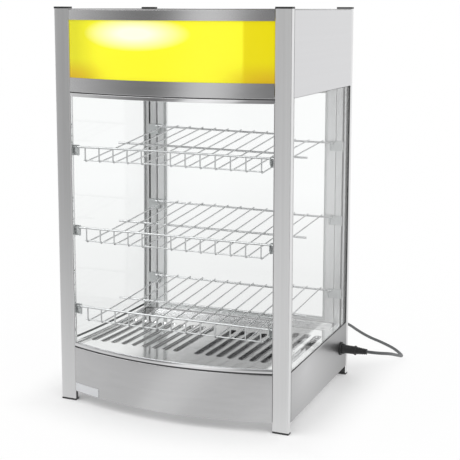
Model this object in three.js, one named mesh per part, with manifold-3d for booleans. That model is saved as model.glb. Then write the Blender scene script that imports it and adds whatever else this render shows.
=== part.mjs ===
// A heated display cabinet for a shop counter: four channel posts carry a heated base with a
// pressed deck, a glazed chamber with three wire racks, and a header with a lit front panel.
// Millimetres, +Z up, +Y from the bowed front to the rear door, +X to the right of a viewer in front.
import * as THREE from 'three';
import { mergeVertices } from 'three/addons/utils/BufferGeometryUtils.js';
import Module from 'manifold-3d';

const wasm = await Module();
wasm.setup();

// Overall sizes
const cabinetWidth = 480;
const cabinetDepth = 369;
const cabinetHeight = 774;
const frontBow = 34;

// Stock and fits
const sheet = 1.2;
const bendRadius = 1.5;
const clearance = 0.3;
const overrun = 3;

// Heights of the base, the chamber and the header
const baseBottom = 20.7;
const basePanelTop = 110;
const baseSideTop = 115;
const deckTop = 109;
const headerHeight = 161;
const lowerBandHeight = 27.5;
const upperBandDrop = 24.7;
const headerBottom = cabinetHeight - headerHeight;
const headerSideStep = 2;
const headerSideBottom = headerBottom + headerSideStep;
const windowBottom = headerBottom + lowerBandHeight;
const windowTop = cabinetHeight - upperBandDrop;

// Facets of round forms
const bowFacets = 12;
const boreFacets = 16;

const box = (low, high) => {
  const size = high.map((value, axis) => value - low[axis]);
  const middle = high.map((value, axis) => (value + low[axis]) / 2);
  return new THREE.BoxGeometry(...size).translate(...middle);
};

const toSolid = (geometry) => {
  const bare = geometry.clone();
  bare.deleteAttribute('normal');
  bare.deleteAttribute('uv');
  const merged = mergeVertices(bare);
  return new wasm.Manifold(new wasm.Mesh({
    numProp: 3,
    vertProperties: new Float32Array(merged.attributes.position.array),
    triVerts: new Uint32Array(merged.index.array),
  }));
};

const toGeometry = (solid) => {
  const mesh = solid.getMesh();
  const geometry = new THREE.BufferGeometry();
  geometry.setAttribute('position', new THREE.BufferAttribute(mesh.vertProperties, 3));
  geometry.setIndex(new THREE.BufferAttribute(mesh.triVerts, 1));
  return geometry;
};

const join = (...pieces) => toGeometry(pieces.map(toSolid).reduce((sum, piece) => sum.add(piece)));
const cut = (piece, ...tools) => (
  toGeometry(tools.map(toSolid).reduce((rest, tool) => rest.subtract(tool), toSolid(piece)))
);
const common = (piece, other) => toGeometry(toSolid(piece).intersect(toSolid(other)));

// A plan view raised from low to high.
const upright = (shape, low, high, curveSegments = boreFacets) => (
  new THREE.ExtrudeGeometry(shape, { depth: high - low, bevelEnabled: false, curveSegments })
    .translate(0, 0, low)
);

// A section in Y and Z run along X, and a section in X and Z run along Y.
const turnToX = new THREE.Matrix4().makeBasis(
  new THREE.Vector3(0, 1, 0), new THREE.Vector3(0, 0, 1), new THREE.Vector3(1, 0, 0),
);
const turnToY = new THREE.Matrix4().makeBasis(
  new THREE.Vector3(1, 0, 0), new THREE.Vector3(0, 0, 1), new THREE.Vector3(0, -1, 0),
);
const alongX = (shape, from, to) => upright(shape, from, to).applyMatrix4(turnToX);
const alongY = (shape, from, to, curveSegments) => (
  upright(shape, -to, -from, curveSegments).applyMatrix4(turnToY)
);

const polygon = (points) => new THREE.Shape(points.map(([across, up]) => new THREE.Vector2(across, up)));

const rectangle = (left, bottom, right, top) => polygon([
  [left, bottom], [right, bottom], [right, top], [left, top],
]);

const regular = (radius, sides) => polygon(Array.from({ length: sides }, (_, i) => {
  const angle = (2 * Math.PI * i) / sides;
  return [radius * Math.cos(angle), radius * Math.sin(angle)];
}));

// A bar with round ends, lying in plan from one y to another.
const obround = (middle, width, from, to, target = new THREE.Shape()) => {
  const radius = width / 2;
  target.moveTo(middle - radius, from + radius);
  target.absarc(middle, from + radius, radius, Math.PI, 2 * Math.PI, false);
  target.absarc(middle, to - radius, radius, 0, Math.PI, false);
  target.closePath();
  return target;
};

// The section of a sheet folded along a line of points: the sheet lies to the left of the line,
// and each fold has an outer radius.
const foldSteps = 2;
const foldedSheet = (line, thickness = sheet, radius = bendRadius) => {
  const near = [];
  const far = [];
  const points = line.map(([across, up]) => new THREE.Vector2(across, up));
  const leftOf = (direction) => new THREE.Vector2(-direction.y, direction.x);
  const direct = (i) => points[i + 1].clone().sub(points[i]).normalize();
  const last = points.length - 1;
  const end = (point, direction) => {
    near.push(point.clone());
    far.push(point.clone().addScaledVector(leftOf(direction), thickness));
  };
  end(points[0], direct(0));
  for (let i = 1; i < last; i += 1) {
    const before = direct(i - 1);
    const after = direct(i);
    const turn = Math.atan2(before.cross(after), before.dot(after));
    const side = Math.sign(turn);
    const lineRadius = side > 0 ? radius : radius - thickness;
    const back = lineRadius * Math.tan(Math.abs(turn) / 2);
    const centre = points[i].clone().addScaledVector(before, -back)
      .addScaledVector(leftOf(before), side * lineRadius);
    for (let step = 0; step <= foldSteps; step += 1) {
      const normal = leftOf(before).rotateAround(new THREE.Vector2(), (turn * step) / foldSteps);
      near.push(centre.clone().addScaledVector(normal, -side * lineRadius));
      far.push(centre.clone().addScaledVector(normal, thickness - side * lineRadius));
    }
  }
  end(points[last], direct(last - 1));
  return new THREE.Shape([...near, ...far.reverse()]);
};

// A path with one station for each ring of a tube.
class StationPath extends THREE.Curve {
  constructor(stations) {
    super();
    this.stations = stations;
  }

  getPoint(share, target = new THREE.Vector3()) {
    const place = share * (this.stations.length - 1);
    const first = Math.min(Math.floor(place), this.stations.length - 2);
    return target.lerpVectors(this.stations[first], this.stations[first + 1], place - first);
  }

  getPointAt(share, target) {
    return this.getPoint(share, target);
  }

  getTangentAt(share, target = new THREE.Vector3()) {
    const here = Math.round(share * (this.stations.length - 1));
    const direct = (from, to) => this.stations[to].clone().sub(this.stations[from]).normalize();
    const last = this.stations.length - 1;
    target.set(0, 0, 0);
    if (here > 0) target.add(direct(here - 1, here));
    if (here < last) target.add(direct(here, here + 1));
    return target.normalize();
  }
}

const tube = (stations, diameter, sides) => new THREE.ExtrudeGeometry(regular(diameter / 2, sides), {
  steps: stations.length - 1,
  bevelEnabled: false,
  extrudePath: new StationPath(stations),
});

const point = (x, y, z) => new THREE.Vector3(x, y, z);

// A turned piece whose axis is X: the profile lists distance along X and radius.
const turnedX = (profile, facets, y, z) => {
  const points = profile.map(([along, radius]) => new THREE.Vector2(radius, along));
  return new THREE.LatheGeometry(points, facets).rotateZ(-Math.PI / 2).translate(0, y, z);
};

// Finishes
const finish = (color, roughness, metalness, extra = {}) => (
  new THREE.MeshStandardMaterial({ color, roughness, metalness, ...extra })
);
const brushedSteel = finish(0xb8b8ba, 0.36, 0.9);
const brightSteel = finish(0xd8d8da, 0.16, 0.95);
const chromed = finish(0xe4e4e6, 0.08, 1);
const aluminium = finish(0xc4c5c7, 0.34, 0.85);
const wireFinish = finish(0xb4b6b8, 0.3, 0.85);
const greyBracket = finish(0x8e9092, 0.4, 0.8);
const clearGlass = finish(0xf2f6f5, 0.04, 0, { transparent: true, opacity: 0.22 });
const litYellow = finish(0xffee08, 0.35, 0, { emissive: 0xffe600, emissiveIntensity: 0.4 });
const blackPlastic = finish(0x161617, 0.45, 0);
const blackRubber = finish(0x1b1b1c, 0.62, 0);
const greyCord = finish(0x55585a, 0.5, 0);
const heaterSheath = finish(0x5d5a55, 0.5, 0.7);
const lampWhite = finish(0xfafaf4, 0.25, 0, { emissive: 0xfffbe8, emissiveIntensity: 0.6 });
const whitePlastic = finish(0xe8e8e4, 0.5, 0);

const cabinet = new THREE.Group();
const base = new THREE.Group();
const chamber = new THREE.Group();
const header = new THREE.Group();
const supply = new THREE.Group();
cabinet.add(base, chamber, header, supply);

const place = (group, name, geometry, material, x = 0, y = 0, z = 0) => {
  const mesh = new THREE.Mesh(geometry, material);
  mesh.name = name;
  mesh.position.set(x, y, z);
  group.add(mesh);
  return mesh;
};

// Posts: lipped channels of folded sheet, their slot towards the chamber. The foot end is
// notched so that only the front and the outer wall reach down over the plastic foot.
const postWidth = 32;
const postDepth = 13;
const postSheet = 1.5;
const postBendRadius = 2;
const postSlot = 4;
const soleThickness = 3.5;
const footHeight = 20;
const footDepth = 22;
const capThickness = 3.5;
const plugHeight = 7;
const postTop = cabinetHeight - capThickness;
const postInner = cabinetWidth / 2 - postWidth;
const postOuter = cabinetWidth / 2;
const postMiddle = (postInner + postOuter) / 2;

const corners = [
  { name: 'front_left', side: -1, rear: false },
  { name: 'front_right', side: 1, rear: false },
  { name: 'rear_left', side: -1, rear: true },
  { name: 'rear_right', side: 1, rear: true },
];

// A place at a corner: x grows outwards, and y grows from the post's outer face to the chamber.
const cornerX = (corner, x) => corner.side * x;
const cornerY = (corner, y) => (corner.rear ? cabinetDepth - y : y);
const cornerBox = (corner, low, high) => {
  const xs = [cornerX(corner, low[0]), cornerX(corner, high[0])].sort((a, b) => a - b);
  const ys = [cornerY(corner, low[1]), cornerY(corner, high[1])].sort((a, b) => a - b);
  return box([xs[0], ys[0], low[2]], [xs[1], ys[1], high[2]]);
};
const cornerPlan = (corner, points) => polygon(points.map(([x, y]) => [cornerX(corner, x), cornerY(corner, y)]));

const makePost = (corner) => {
  const section = foldedSheet([
    [postMiddle - postSlot / 2, postDepth],
    [postInner, postDepth],
    [postInner, 0],
    [postOuter, 0],
    [postOuter, postDepth],
    [postMiddle + postSlot / 2, postDepth],
  ], postSheet, postBendRadius).getPoints().map(({ x, y }) => [x, y]);
  const channel = upright(cornerPlan(corner, section), soleThickness, postTop);
  const notch = cornerBox(
    corner,
    [postInner - overrun, postSheet, soleThickness - overrun],
    [postOuter - postSheet, postDepth + overrun, footHeight + clearance],
  );
  return cut(channel, notch);
};

const makeFoot = (corner) => join(
  cornerBox(corner, [postInner, 0, 0], [postOuter, footDepth, soleThickness]),
  cornerBox(
    corner,
    [postInner + clearance, postSheet + clearance, 0],
    [postOuter - postSheet - clearance, footDepth, footHeight],
  ),
);

const makeCap = (corner) => join(
  cornerBox(corner, [postInner, 0, postTop], [postOuter, postDepth, cabinetHeight]),
  cornerBox(
    corner,
    [postInner + postSheet + clearance, postSheet + clearance, postTop - plugHeight],
    [postOuter - postSheet - clearance, postDepth - postSheet - clearance, cabinetHeight],
  ),
);

corners.forEach((corner) => {
  place(cabinet, `post_${corner.name}`, makePost(corner), aluminium);
  place(base, `foot_${corner.name}`, makeFoot(corner), blackPlastic);
  place(header, `cap_${corner.name}`, makeCap(corner), blackPlastic);
});

// The bow: an arc through the front faces of the posts, which everything on the front follows.
const bowHalf = postInner - clearance;
const bowRadius = (postInner ** 2 + frontBow ** 2) / (2 * frontBow);
const bowCentre = bowRadius - frontBow;
const bowEndY = (inset) => bowCentre - Math.sqrt((bowRadius - inset) ** 2 - bowHalf ** 2);

const bowArc = (shape, inset, half, backwards = false) => {
  const radius = bowRadius - inset;
  const reach = Math.asin(half / radius);
  const [from, to] = backwards ? [reach, -reach] : [-reach, reach];
  shape.absarc(0, bowCentre, radius, from - Math.PI / 2, to - Math.PI / 2, backwards);
};

// A band that follows the bow, between two insets from its face.
const bowBand = (outerInset, innerInset, low, high, half = bowHalf) => {
  const shape = new THREE.Shape();
  bowArc(shape, outerInset, half);
  bowArc(shape, innerInset, half, true);
  shape.closePath();
  return upright(shape, low, high, bowFacets);
};

// A flat plate with a bowed front edge, notched round the posts where it reaches them.
const plateOutline = ({ side, frontInset, rear }) => {
  const shape = new THREE.Shape();
  const frontNotch = Math.max(postDepth + clearance, bowEndY(frontInset));
  const rearNotch = Math.min(cabinetDepth - postDepth - clearance, rear);
  shape.moveTo(-side, rearNotch);
  shape.lineTo(-side, frontNotch);
  shape.lineTo(-bowHalf, frontNotch);
  bowArc(shape, frontInset, bowHalf);
  shape.lineTo(bowHalf, frontNotch);
  shape.lineTo(side, frontNotch);
  shape.lineTo(side, rearNotch);
  if (rear > rearNotch) {
    shape.lineTo(bowHalf, rearNotch);
    shape.lineTo(bowHalf, rear);
    shape.lineTo(-bowHalf, rear);
    shape.lineTo(-bowHalf, rearNotch);
  }
  shape.closePath();
  return shape;
};

// Side walls run between the posts, in the plane of their outer faces.
const sideFront = postDepth + clearance;
const sideRear = cabinetDepth - postDepth - clearance;
const sides = [
  { name: 'left', side: -1 },
  { name: 'right', side: 1 },
];
const sideSection = (side, line) => {
  const points = foldedSheet(line).getPoints();
  return polygon(points.map(({ x, y }) => [side * x, y]));
};

// Base cladding: a bowed front panel with flanges, two side panels that carry the glass on a
// ledge, and a rear panel whose sill carries the deck's rear edge.
const frontFlange = 14;
const frontPanelBottom = baseBottom - sheet - clearance;
const ledgeWidth = 18;
const ledgeDrop = 9;
const ledgeInner = cabinetWidth / 2 - ledgeWidth;
const sillDepth = 17;
const sillLip = 10;
const rearFlange = 14;
const sillFront = cabinetDepth - sillDepth;
const deckUnderside = deckTop - sheet;
const deckSeat = deckUnderside - clearance;

place(base, 'base_front_panel', join(
  bowBand(0, sheet, frontPanelBottom, basePanelTop),
  bowBand(0, frontFlange, frontPanelBottom, frontPanelBottom + sheet),
  bowBand(0, frontFlange, basePanelTop - sheet, basePanelTop),
), brushedSteel);

// Cable gland: a flange and a threaded barrel through the right side panel, with a nut inside.
const glandFromRear = 51.4;
const glandY = cabinetDepth - glandFromRear;
const glandZ = 69.4;
const glandFlangeDiameter = 27.5;
const glandFlangeThickness = 3;
const glandBarrelDiameter = 16;
const glandBarrelLength = 14;
const glandHoleDiameter = glandBarrelDiameter + 4 * clearance;
const nutAcross = 24;
const nutThickness = 5;
const glandFacets = 16;
const glandFace = postOuter + clearance;

const makeSidePanel = ({ side }) => {
  const section = sideSection(side, [
    [postOuter, baseBottom],
    [postOuter, baseSideTop],
    [ledgeInner, baseSideTop],
    [ledgeInner, baseSideTop - ledgeDrop],
  ]);
  const panel = alongY(section, sideFront, sideRear);
  if (side < 0) return panel;
  const hole = turnedX([
    [postOuter - overrun, 0],
    [postOuter - overrun, glandHoleDiameter / 2],
    [postOuter + overrun, glandHoleDiameter / 2],
    [postOuter + overrun, 0],
  ], glandFacets, glandY, glandZ);
  return cut(panel, hole);
};
sides.forEach((at) => place(base, `base_side_panel_${at.name}`, makeSidePanel(at), brushedSteel));

// Controls on the rear panel: a capillary thermostat with its knob, and a rocker switch.
const controlZ = 64;
const thermostatFromPost = 113;
const controlSpacing = 70;
const thermostatX = thermostatFromPost - postInner;
const switchX = thermostatX + controlSpacing;
const bushingDiameter = 10;
const switchWidth = 24;
const switchHeight = 31;

const panelCylinder = (x, z, diameter, from, to, facets = boreFacets) => (
  new THREE.CylinderGeometry(diameter / 2, diameter / 2, to - from, facets)
    .translate(x, (from + to) / 2, z)
);

const makeRearPanel = () => {
  const section = foldedSheet([
    [cabinetDepth - rearFlange, frontPanelBottom],
    [cabinetDepth, frontPanelBottom],
    [cabinetDepth, basePanelTop],
    [sillFront, basePanelTop],
    [sillFront, deckSeat],
    [sillFront - sillLip, deckSeat],
  ]);
  const from = cabinetDepth - overrun;
  const to = cabinetDepth + overrun;
  const shaftHole = panelCylinder(thermostatX, controlZ, bushingDiameter + 4 * clearance, from, to);
  const switchHole = box(
    [switchX - switchWidth / 2 - clearance, from, controlZ - switchHeight / 2 - clearance],
    [switchX + switchWidth / 2 + clearance, to, controlZ + switchHeight / 2 + clearance],
  );
  return cut(alongX(section, -bowHalf, bowHalf), shaftHole, switchHole);
};
place(base, 'base_rear_panel', makeRearPanel(), brushedSteel);

// Base pan: the bottom plate with low side lips, and the walls of the heater well on it.
const wellFront = 46;
const wellFromRear = 83;
const wellSide = ledgeInner - 2 * clearance;
const wellRear = cabinetDepth - wellFromRear;
const panLip = 12;
const panSide = postOuter - sheet - clearance;
const panTop = baseBottom + sheet;

// Heater: one sheathed tube in four runs under the deck, its ends out through the well's rear wall.
const heaterDiameter = 8.5;
const heaterZ = 62;
const heaterRuns = 4;
const heaterSideRoom = 71.4;
const heaterFrontRoom = 54;
const heaterRearRoom = 18;
const heaterTailReach = 20;
const heaterRunGap = (2 * (wellSide - heaterSideRoom)) / (heaterRuns - 1);
const heaterFront = wellFront + heaterFrontRoom;
const heaterBack = wellRear - heaterRearRoom;
const heaterTail = wellRear + heaterTailReach;
const heaterSides = 8;
const heaterBendSteps = 6;
const heaterRunX = (run) => (run - (heaterRuns - 1) / 2) * heaterRunGap;
const saddleWidth = 16;
const saddleOverhang = 14;
const saddleFront = (wellFront + wellRear - saddleWidth) / 2;

const makeBasePan = () => {
  const rear = cabinetDepth - sheet - clearance;
  const floor = upright(plateOutline({ side: panSide, frontInset: sheet + clearance, rear }), baseBottom, panTop);
  const lips = [-1, 1].map((side) => {
    const xs = [side * panSide, side * (panSide - sheet)].sort((a, b) => a - b);
    return box([xs[0], sideFront, baseBottom], [xs[1], sideRear, panTop + panLip]);
  });
  const wellPlan = rectangle(-wellSide, wellFront, wellSide, wellRear);
  wellPlan.holes.push(rectangle(-wellSide + sheet, wellFront + sheet, wellSide - sheet, wellRear - sheet));
  const well = upright(wellPlan, baseBottom, deckSeat);
  const saddleTop = heaterZ - heaterDiameter / 2 - clearance;
  const saddleReach = heaterRunX(heaterRuns - 1) + saddleOverhang;
  const saddle = alongX(foldedSheet([
    [saddleFront + saddleWidth, baseBottom],
    [saddleFront + saddleWidth, saddleTop],
    [saddleFront, saddleTop],
    [saddleFront, baseBottom],
  ]), -saddleReach, saddleReach);
  const exits = [0, heaterRuns - 1].map((run) => panelCylinder(
    heaterRunX(run),
    heaterZ,
    heaterDiameter + 4 * clearance,
    wellRear - overrun,
    wellRear + overrun,
  ));
  return cut(join(floor, ...lips, well, saddle), ...exits);
};
place(base, 'base_pan', makeBasePan(), brightSteel);

const makeHeater = () => {
  const stations = [point(heaterRunX(0), heaterTail, heaterZ)];
  const radius = heaterRunGap / 2;
  for (let run = 0; run < heaterRuns - 1; run += 1) {
    const forward = run % 2 === 0;
    const bendX = heaterRunX(run) + radius;
    const bendY = forward ? heaterFront + radius : heaterBack - radius;
    for (let step = 0; step <= heaterBendSteps; step += 1) {
      const angle = (Math.PI * step) / heaterBendSteps;
      const rise = (forward ? -1 : 1) * Math.sin(angle);
      stations.push(point(bendX - radius * Math.cos(angle), bendY + radius * rise, heaterZ));
    }
  }
  stations.push(point(heaterRunX(heaterRuns - 1), heaterTail, heaterZ));
  return tube(stations, heaterDiameter, heaterSides);
};
place(base, 'heating_element', makeHeater(), heaterSheath);

// Deck: a bright plate with nine pressed flutes on each side of a plain middle band, and a
// rectangular opening in the last flute on the right for the temperature probe.
const deckSide = ledgeInner - clearance;
const fluteCount = 9;
const fluteMargin = 13.8;
const fluteFront = 71.5;
const fluteFromRear = 107;
const flutePitch = (deckSide - fluteMargin) / fluteCount;
const fluteRear = cabinetDepth - fluteFromRear;
const fluteWidth = 13.4;
const fluteDepth = 4;
const fluteTaperShare = 0.55;
const fluteEndFacets = 3;
const probeWidth = 11;
const probeLength = 42;
const probeFromFluteEnd = 38;
const probeRise = 4;
const probeRear = fluteRear - probeFromFluteEnd;
const probeFront = probeRear - probeLength;
const probeX = fluteCount * flutePitch + fluteWidth / 4;

// A pressed trough: round-ended in plan and drawn in towards its floor.
const trough = (middle, width, from, to, low, high) => {
  const radius = width / 2;
  const solid = upright(obround(middle, width, from, to), low, high, fluteEndFacets);
  const spots = solid.attributes.position;
  for (let i = 0; i < spots.count; i += 1) {
    const share = 1 - (1 - fluteTaperShare) * ((high - spots.getZ(i)) / (high - low));
    const y = spots.getY(i);
    const spineY = Math.min(Math.max(y, from + radius), to - radius);
    spots.setX(i, middle + (spots.getX(i) - middle) * share);
    spots.setY(i, spineY + (y - spineY) * share);
  }
  return solid;
};

const makeDeck = () => {
  const outline = plateOutline({
    side: deckSide,
    frontInset: frontFlange + clearance,
    rear: sillFront - clearance,
  });
  const plate = toSolid(upright(outline, deckUnderside, deckTop, bowFacets));
  const places = [];
  for (let flute = 1; flute <= fluteCount; flute += 1) places.push(-flute * flutePitch, flute * flutePitch);
  const shells = places.map((x) => toSolid(trough(
    x,
    fluteWidth + sheet,
    fluteFront - sheet / 2,
    fluteRear + sheet / 2,
    deckUnderside - fluteDepth,
    deckTop,
  )));
  const hollows = places.map((x) => toSolid(trough(
    x,
    fluteWidth,
    fluteFront,
    fluteRear,
    deckTop - fluteDepth,
    deckTop + sheet,
  )));
  const opening = toSolid(box(
    [probeX - probeWidth / 2 - clearance, probeFront - clearance, deckUnderside - fluteDepth - overrun],
    [probeX + probeWidth / 2 + clearance, probeRear + clearance, deckTop + overrun],
  ));
  const pressed = shells.reduce((sum, shell) => sum.add(shell), plate);
  return toGeometry(hollows.reduce((rest, hollow) => rest.subtract(hollow), pressed).subtract(opening));
};
place(base, 'deck_plate', makeDeck(), brightSteel);

// Temperature probe: a black capsule held in the deck's opening, its flange over the edge.
const probeBody = 9;
place(base, 'temperature_probe', box(
  [probeX - probeWidth / 2, probeFront, deckTop - probeBody],
  [probeX + probeWidth / 2, probeRear, deckTop + probeRise],
), blackPlastic);

// Thermostat: body with bushing and bore behind the panel, and a knob whose stub runs in the bore.
const thermostatSize = 40;
const thermostatDepth = 34;
const bushingReach = 3;
const shaftDiameter = 6;
const shaftReach = 12;
const boreDiameter = 7.4;
const knobDiameter = 38;
const knobSkirt = 4;
const knobHeight = 19;
const knobGripDiameter = 27;
const knobGripDraft = 1.5;
const knobFacets = 18;
const pointerWidth = 6;
const panelInside = cabinetDepth - sheet - clearance;

const makeThermostat = () => {
  const body = box(
    [thermostatX - thermostatSize / 2, panelInside - thermostatDepth, controlZ - thermostatSize / 2],
    [thermostatX + thermostatSize / 2, panelInside, controlZ + thermostatSize / 2],
  );
  const nose = cabinetDepth + bushingReach;
  const bushing = panelCylinder(thermostatX, controlZ, bushingDiameter, panelInside - overrun, nose);
  const bore = panelCylinder(thermostatX, controlZ, boreDiameter, nose - shaftReach - clearance, nose + overrun);
  return cut(join(body, bushing), bore);
};
place(base, 'thermostat_body', makeThermostat(), blackPlastic);

const makeKnob = () => {
  const near = cabinetDepth + bushingReach + clearance;
  const skirt = panelCylinder(thermostatX, controlZ, knobDiameter, near, near + knobSkirt, knobFacets);
  const grip = new THREE.CylinderGeometry(
    knobGripDiameter / 2 - knobGripDraft,
    knobGripDiameter / 2,
    knobHeight,
    knobFacets,
  ).translate(thermostatX, near + knobHeight / 2, controlZ);
  const blade = box(
    [thermostatX - pointerWidth / 2, near, controlZ],
    [thermostatX + pointerWidth / 2, near + knobHeight, controlZ + knobDiameter / 2],
  );
  const shaft = panelCylinder(thermostatX, controlZ, shaftDiameter, near - shaftReach, near + knobSkirt);
  return join(skirt, grip, blade, shaft);
};
place(base, 'thermostat_knob', makeKnob(), blackPlastic);

// Power switch: a snap-in housing with a bezel, and a rocker on a cross axis inside it.
const bezelRim = 2;
const bezelThickness = 2;
const housingDepth = 20;
const housingWall = 1.8;
const rockerAxisInset = 3;
const rockerHalfHeight = 12;
const rockerFace = 5;
const rockerWing = 6.7;
const rockerRootHalf = 8;
const rockerRoot = 5;
const rockerTilt = THREE.MathUtils.degToRad(8);
const rockerSlack = 0.6;
const rockerFloor = 4;

const makeSwitchHousing = () => {
  const bezel = box(
    [switchX - switchWidth / 2 - bezelRim, cabinetDepth + clearance, controlZ - switchHeight / 2 - bezelRim],
    [
      switchX + switchWidth / 2 + bezelRim,
      cabinetDepth + clearance + bezelThickness,
      controlZ + switchHeight / 2 + bezelRim,
    ],
  );
  const can = box(
    [switchX - switchWidth / 2, cabinetDepth - housingDepth, controlZ - switchHeight / 2],
    [switchX + switchWidth / 2, cabinetDepth + bezelThickness, controlZ + switchHeight / 2],
  );
  const pocket = box(
    [switchX - switchWidth / 2 + housingWall, cabinetDepth - housingDepth + rockerFloor,
      controlZ - switchHeight / 2 + housingWall],
    [switchX + switchWidth / 2 - housingWall, cabinetDepth + housingDepth,
      controlZ + switchHeight / 2 - housingWall],
  );
  return cut(join(bezel, can), pocket);
};
place(base, 'power_switch_housing', makeSwitchHousing(), blackPlastic);

const makeRocker = () => {
  const section = polygon([
    [-rockerRoot, -rockerRootHalf],
    [rockerWing, -rockerHalfHeight],
    [rockerFace, 0],
    [rockerWing, rockerHalfHeight],
    [-rockerRoot, rockerRootHalf],
  ]);
  const half = switchWidth / 2 - housingWall - rockerSlack;
  return alongX(section, -half, half);
};
const rocker = place(
  base,
  'power_switch_rocker',
  makeRocker(),
  blackPlastic,
  switchX,
  cabinetDepth - rockerAxisInset,
  controlZ,
);
rocker.rotation.x = -rockerTilt;

// Terminal block: where the supply cord's cores meet the heater, thermostat and lamp leads.
const terminalFromPost = 78;
const terminalLength = 52;
const terminalX = postInner - terminalFromPost;
const terminalY = heaterTail;
const terminalDepth = 20;
const terminalHeight = 18;
const terminalPoles = 5;
const terminalSlotWidth = 6;
const terminalSlotDepth = 9;

const makeTerminalBlock = () => {
  const low = panTop + clearance;
  const block = box([terminalX, terminalY, low], [
    terminalX + terminalLength, terminalY + terminalDepth, low + terminalHeight,
  ]);
  const pitch = terminalLength / terminalPoles;
  const slots = Array.from({ length: terminalPoles }, (_, i) => {
    const middle = terminalX + (i + 0.5) * pitch;
    return box(
      [middle - terminalSlotWidth / 2, terminalY - overrun, low + terminalHeight - terminalSlotDepth],
      [middle + terminalSlotWidth / 2, terminalY + terminalDepth + overrun, low + terminalHeight + overrun],
    );
  });
  return cut(block, ...slots);
};
place(base, 'terminal_block', makeTerminalBlock(), whitePlastic);

// Glazing: a bowed front pane held in a chromed rail at its foot and at its head, and flat side
// panes that stand on the ledges between the posts.
const frontGlassThickness = 4;
const railDepth = 8;
const railHeight = 9;
const railFloor = 3;
const headRailHeight = 8;
const glassInset = 1.5;
const sideGlassThickness = 4;
const sideGlassInset = 1;
const footRailBottom = basePanelTop + clearance;
const headRailTop = headerBottom - clearance;
const headRailBottom = headRailTop - headRailHeight;

const glassGroove = (low, high) => bowBand(
  glassInset - clearance,
  glassInset + frontGlassThickness + clearance,
  low,
  high,
  bowHalf + overrun,
);
const rail = (low, high) => bowBand(0, railDepth, low, high);

place(chamber, 'glass_rail_foot', cut(
  rail(footRailBottom, footRailBottom + railHeight),
  glassGroove(footRailBottom + railFloor, footRailBottom + railHeight + overrun),
), chromed);
place(chamber, 'glass_rail_head', cut(
  rail(headRailBottom, headRailTop),
  glassGroove(headRailBottom - overrun, headRailTop - railFloor),
), chromed);
place(chamber, 'front_glass', bowBand(
  glassInset,
  glassInset + frontGlassThickness,
  footRailBottom + railFloor + clearance,
  headRailTop - railFloor - clearance,
), clearGlass);

sides.forEach(({ name, side }) => {
  const outer = postOuter - sideGlassInset;
  const xs = [side * outer, side * (outer - sideGlassThickness)].sort((a, b) => a - b);
  place(chamber, `side_glass_${name}`, box(
    [xs[0], sideFront, baseSideTop + clearance],
    [xs[1], sideRear, headerSideBottom - clearance],
  ), clearGlass);
});

// Header: bowed bands above and below a lit panel, side and rear panels, ceiling and cover.
const coverUnderside = postTop - sheet;
const headerTop = coverUnderside - clearance;
const headerFlange = 14;
const displayThickness = 3;
const displayLap = 5;
const displayInset = sheet + clearance;
const ceilingBottom = headerSideBottom + sheet + clearance;
const ceilingTop = ceilingBottom + sheet;
const ventCount = 7;
const ventPitch = 34;
const ventWidth = 5;
const ventLength = 45;
const ventDrop = 34;
const ventFacets = 3;
const ventTop = headerTop - ventDrop;
const ventBottom = ventTop - ventLength;

place(header, 'header_lower_band', join(
  bowBand(0, sheet, headerBottom, windowBottom),
  bowBand(0, headerFlange, headerBottom, headerBottom + sheet),
), brushedSteel);
place(header, 'header_upper_band', join(
  bowBand(0, sheet, windowTop, headerTop),
  bowBand(0, headerFlange, headerTop - sheet, headerTop),
), brushedSteel);
place(header, 'display_panel', bowBand(
  displayInset,
  displayInset + displayThickness,
  windowBottom - displayLap,
  windowTop + displayLap,
), litYellow);

sides.forEach(({ name, side }) => {
  const section = sideSection(side, [
    [postOuter - headerFlange, headerSideBottom],
    [postOuter, headerSideBottom],
    [postOuter, headerTop],
    [postOuter - headerFlange, headerTop],
  ]);
  place(header, `header_side_panel_${name}`, alongY(section, sideFront, sideRear), brushedSteel);
});

const makeHeaderRear = () => {
  const section = foldedSheet([
    [sillFront, headerBottom],
    [cabinetDepth, headerBottom],
    [cabinetDepth, headerTop],
    [cabinetDepth - headerFlange, headerTop],
  ]);
  const vents = Array.from({ length: ventCount }, (_, i) => {
    const x = (i - (ventCount - 1) / 2) * ventPitch;
    return alongY(
      obround(x, ventWidth, ventBottom, ventTop),
      cabinetDepth - overrun,
      cabinetDepth + overrun,
      ventFacets,
    );
  });
  return cut(alongX(section, -bowHalf, bowHalf), ...vents);
};
place(header, 'header_rear_panel', makeHeaderRear(), brushedSteel);

place(header, 'chamber_ceiling', upright(plateOutline({
  side: panSide,
  frontInset: sheet + clearance,
  rear: panelInside,
}), ceilingBottom, ceilingTop, bowFacets), brightSteel);
place(header, 'top_cover', upright(plateOutline({
  side: postOuter,
  frontInset: 0,
  rear: cabinetDepth,
}), coverUnderside, postTop, bowFacets), brushedSteel);

// Lamp behind the lit panel: a tube between two holders that stand on the ceiling.
const lampDiameter = 26;
const lampCapDiameter = 22;
const lampLength = 300;
const lampCap = 12;
const lampFromPost = 178;
const lampRise = 82.3;
const lampX = lampFromPost - postInner;
const lampY = 48;
const lampZ = ceilingTop + lampRise;
const lampFacets = 16;
const holderWidth = 16;
const holderDepth = 34;
const holderTop = 18;
const socketDepth = 6;

place(header, 'lamp_tube', turnedX([
  [lampX - lampLength / 2, 0],
  [lampX - lampLength / 2, lampCapDiameter / 2],
  [lampX - lampLength / 2 + lampCap, lampCapDiameter / 2],
  [lampX - lampLength / 2 + lampCap, lampDiameter / 2],
  [lampX + lampLength / 2 - lampCap, lampDiameter / 2],
  [lampX + lampLength / 2 - lampCap, lampCapDiameter / 2],
  [lampX + lampLength / 2, lampCapDiameter / 2],
  [lampX + lampLength / 2, 0],
], lampFacets, lampY, lampZ), lampWhite);

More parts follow.
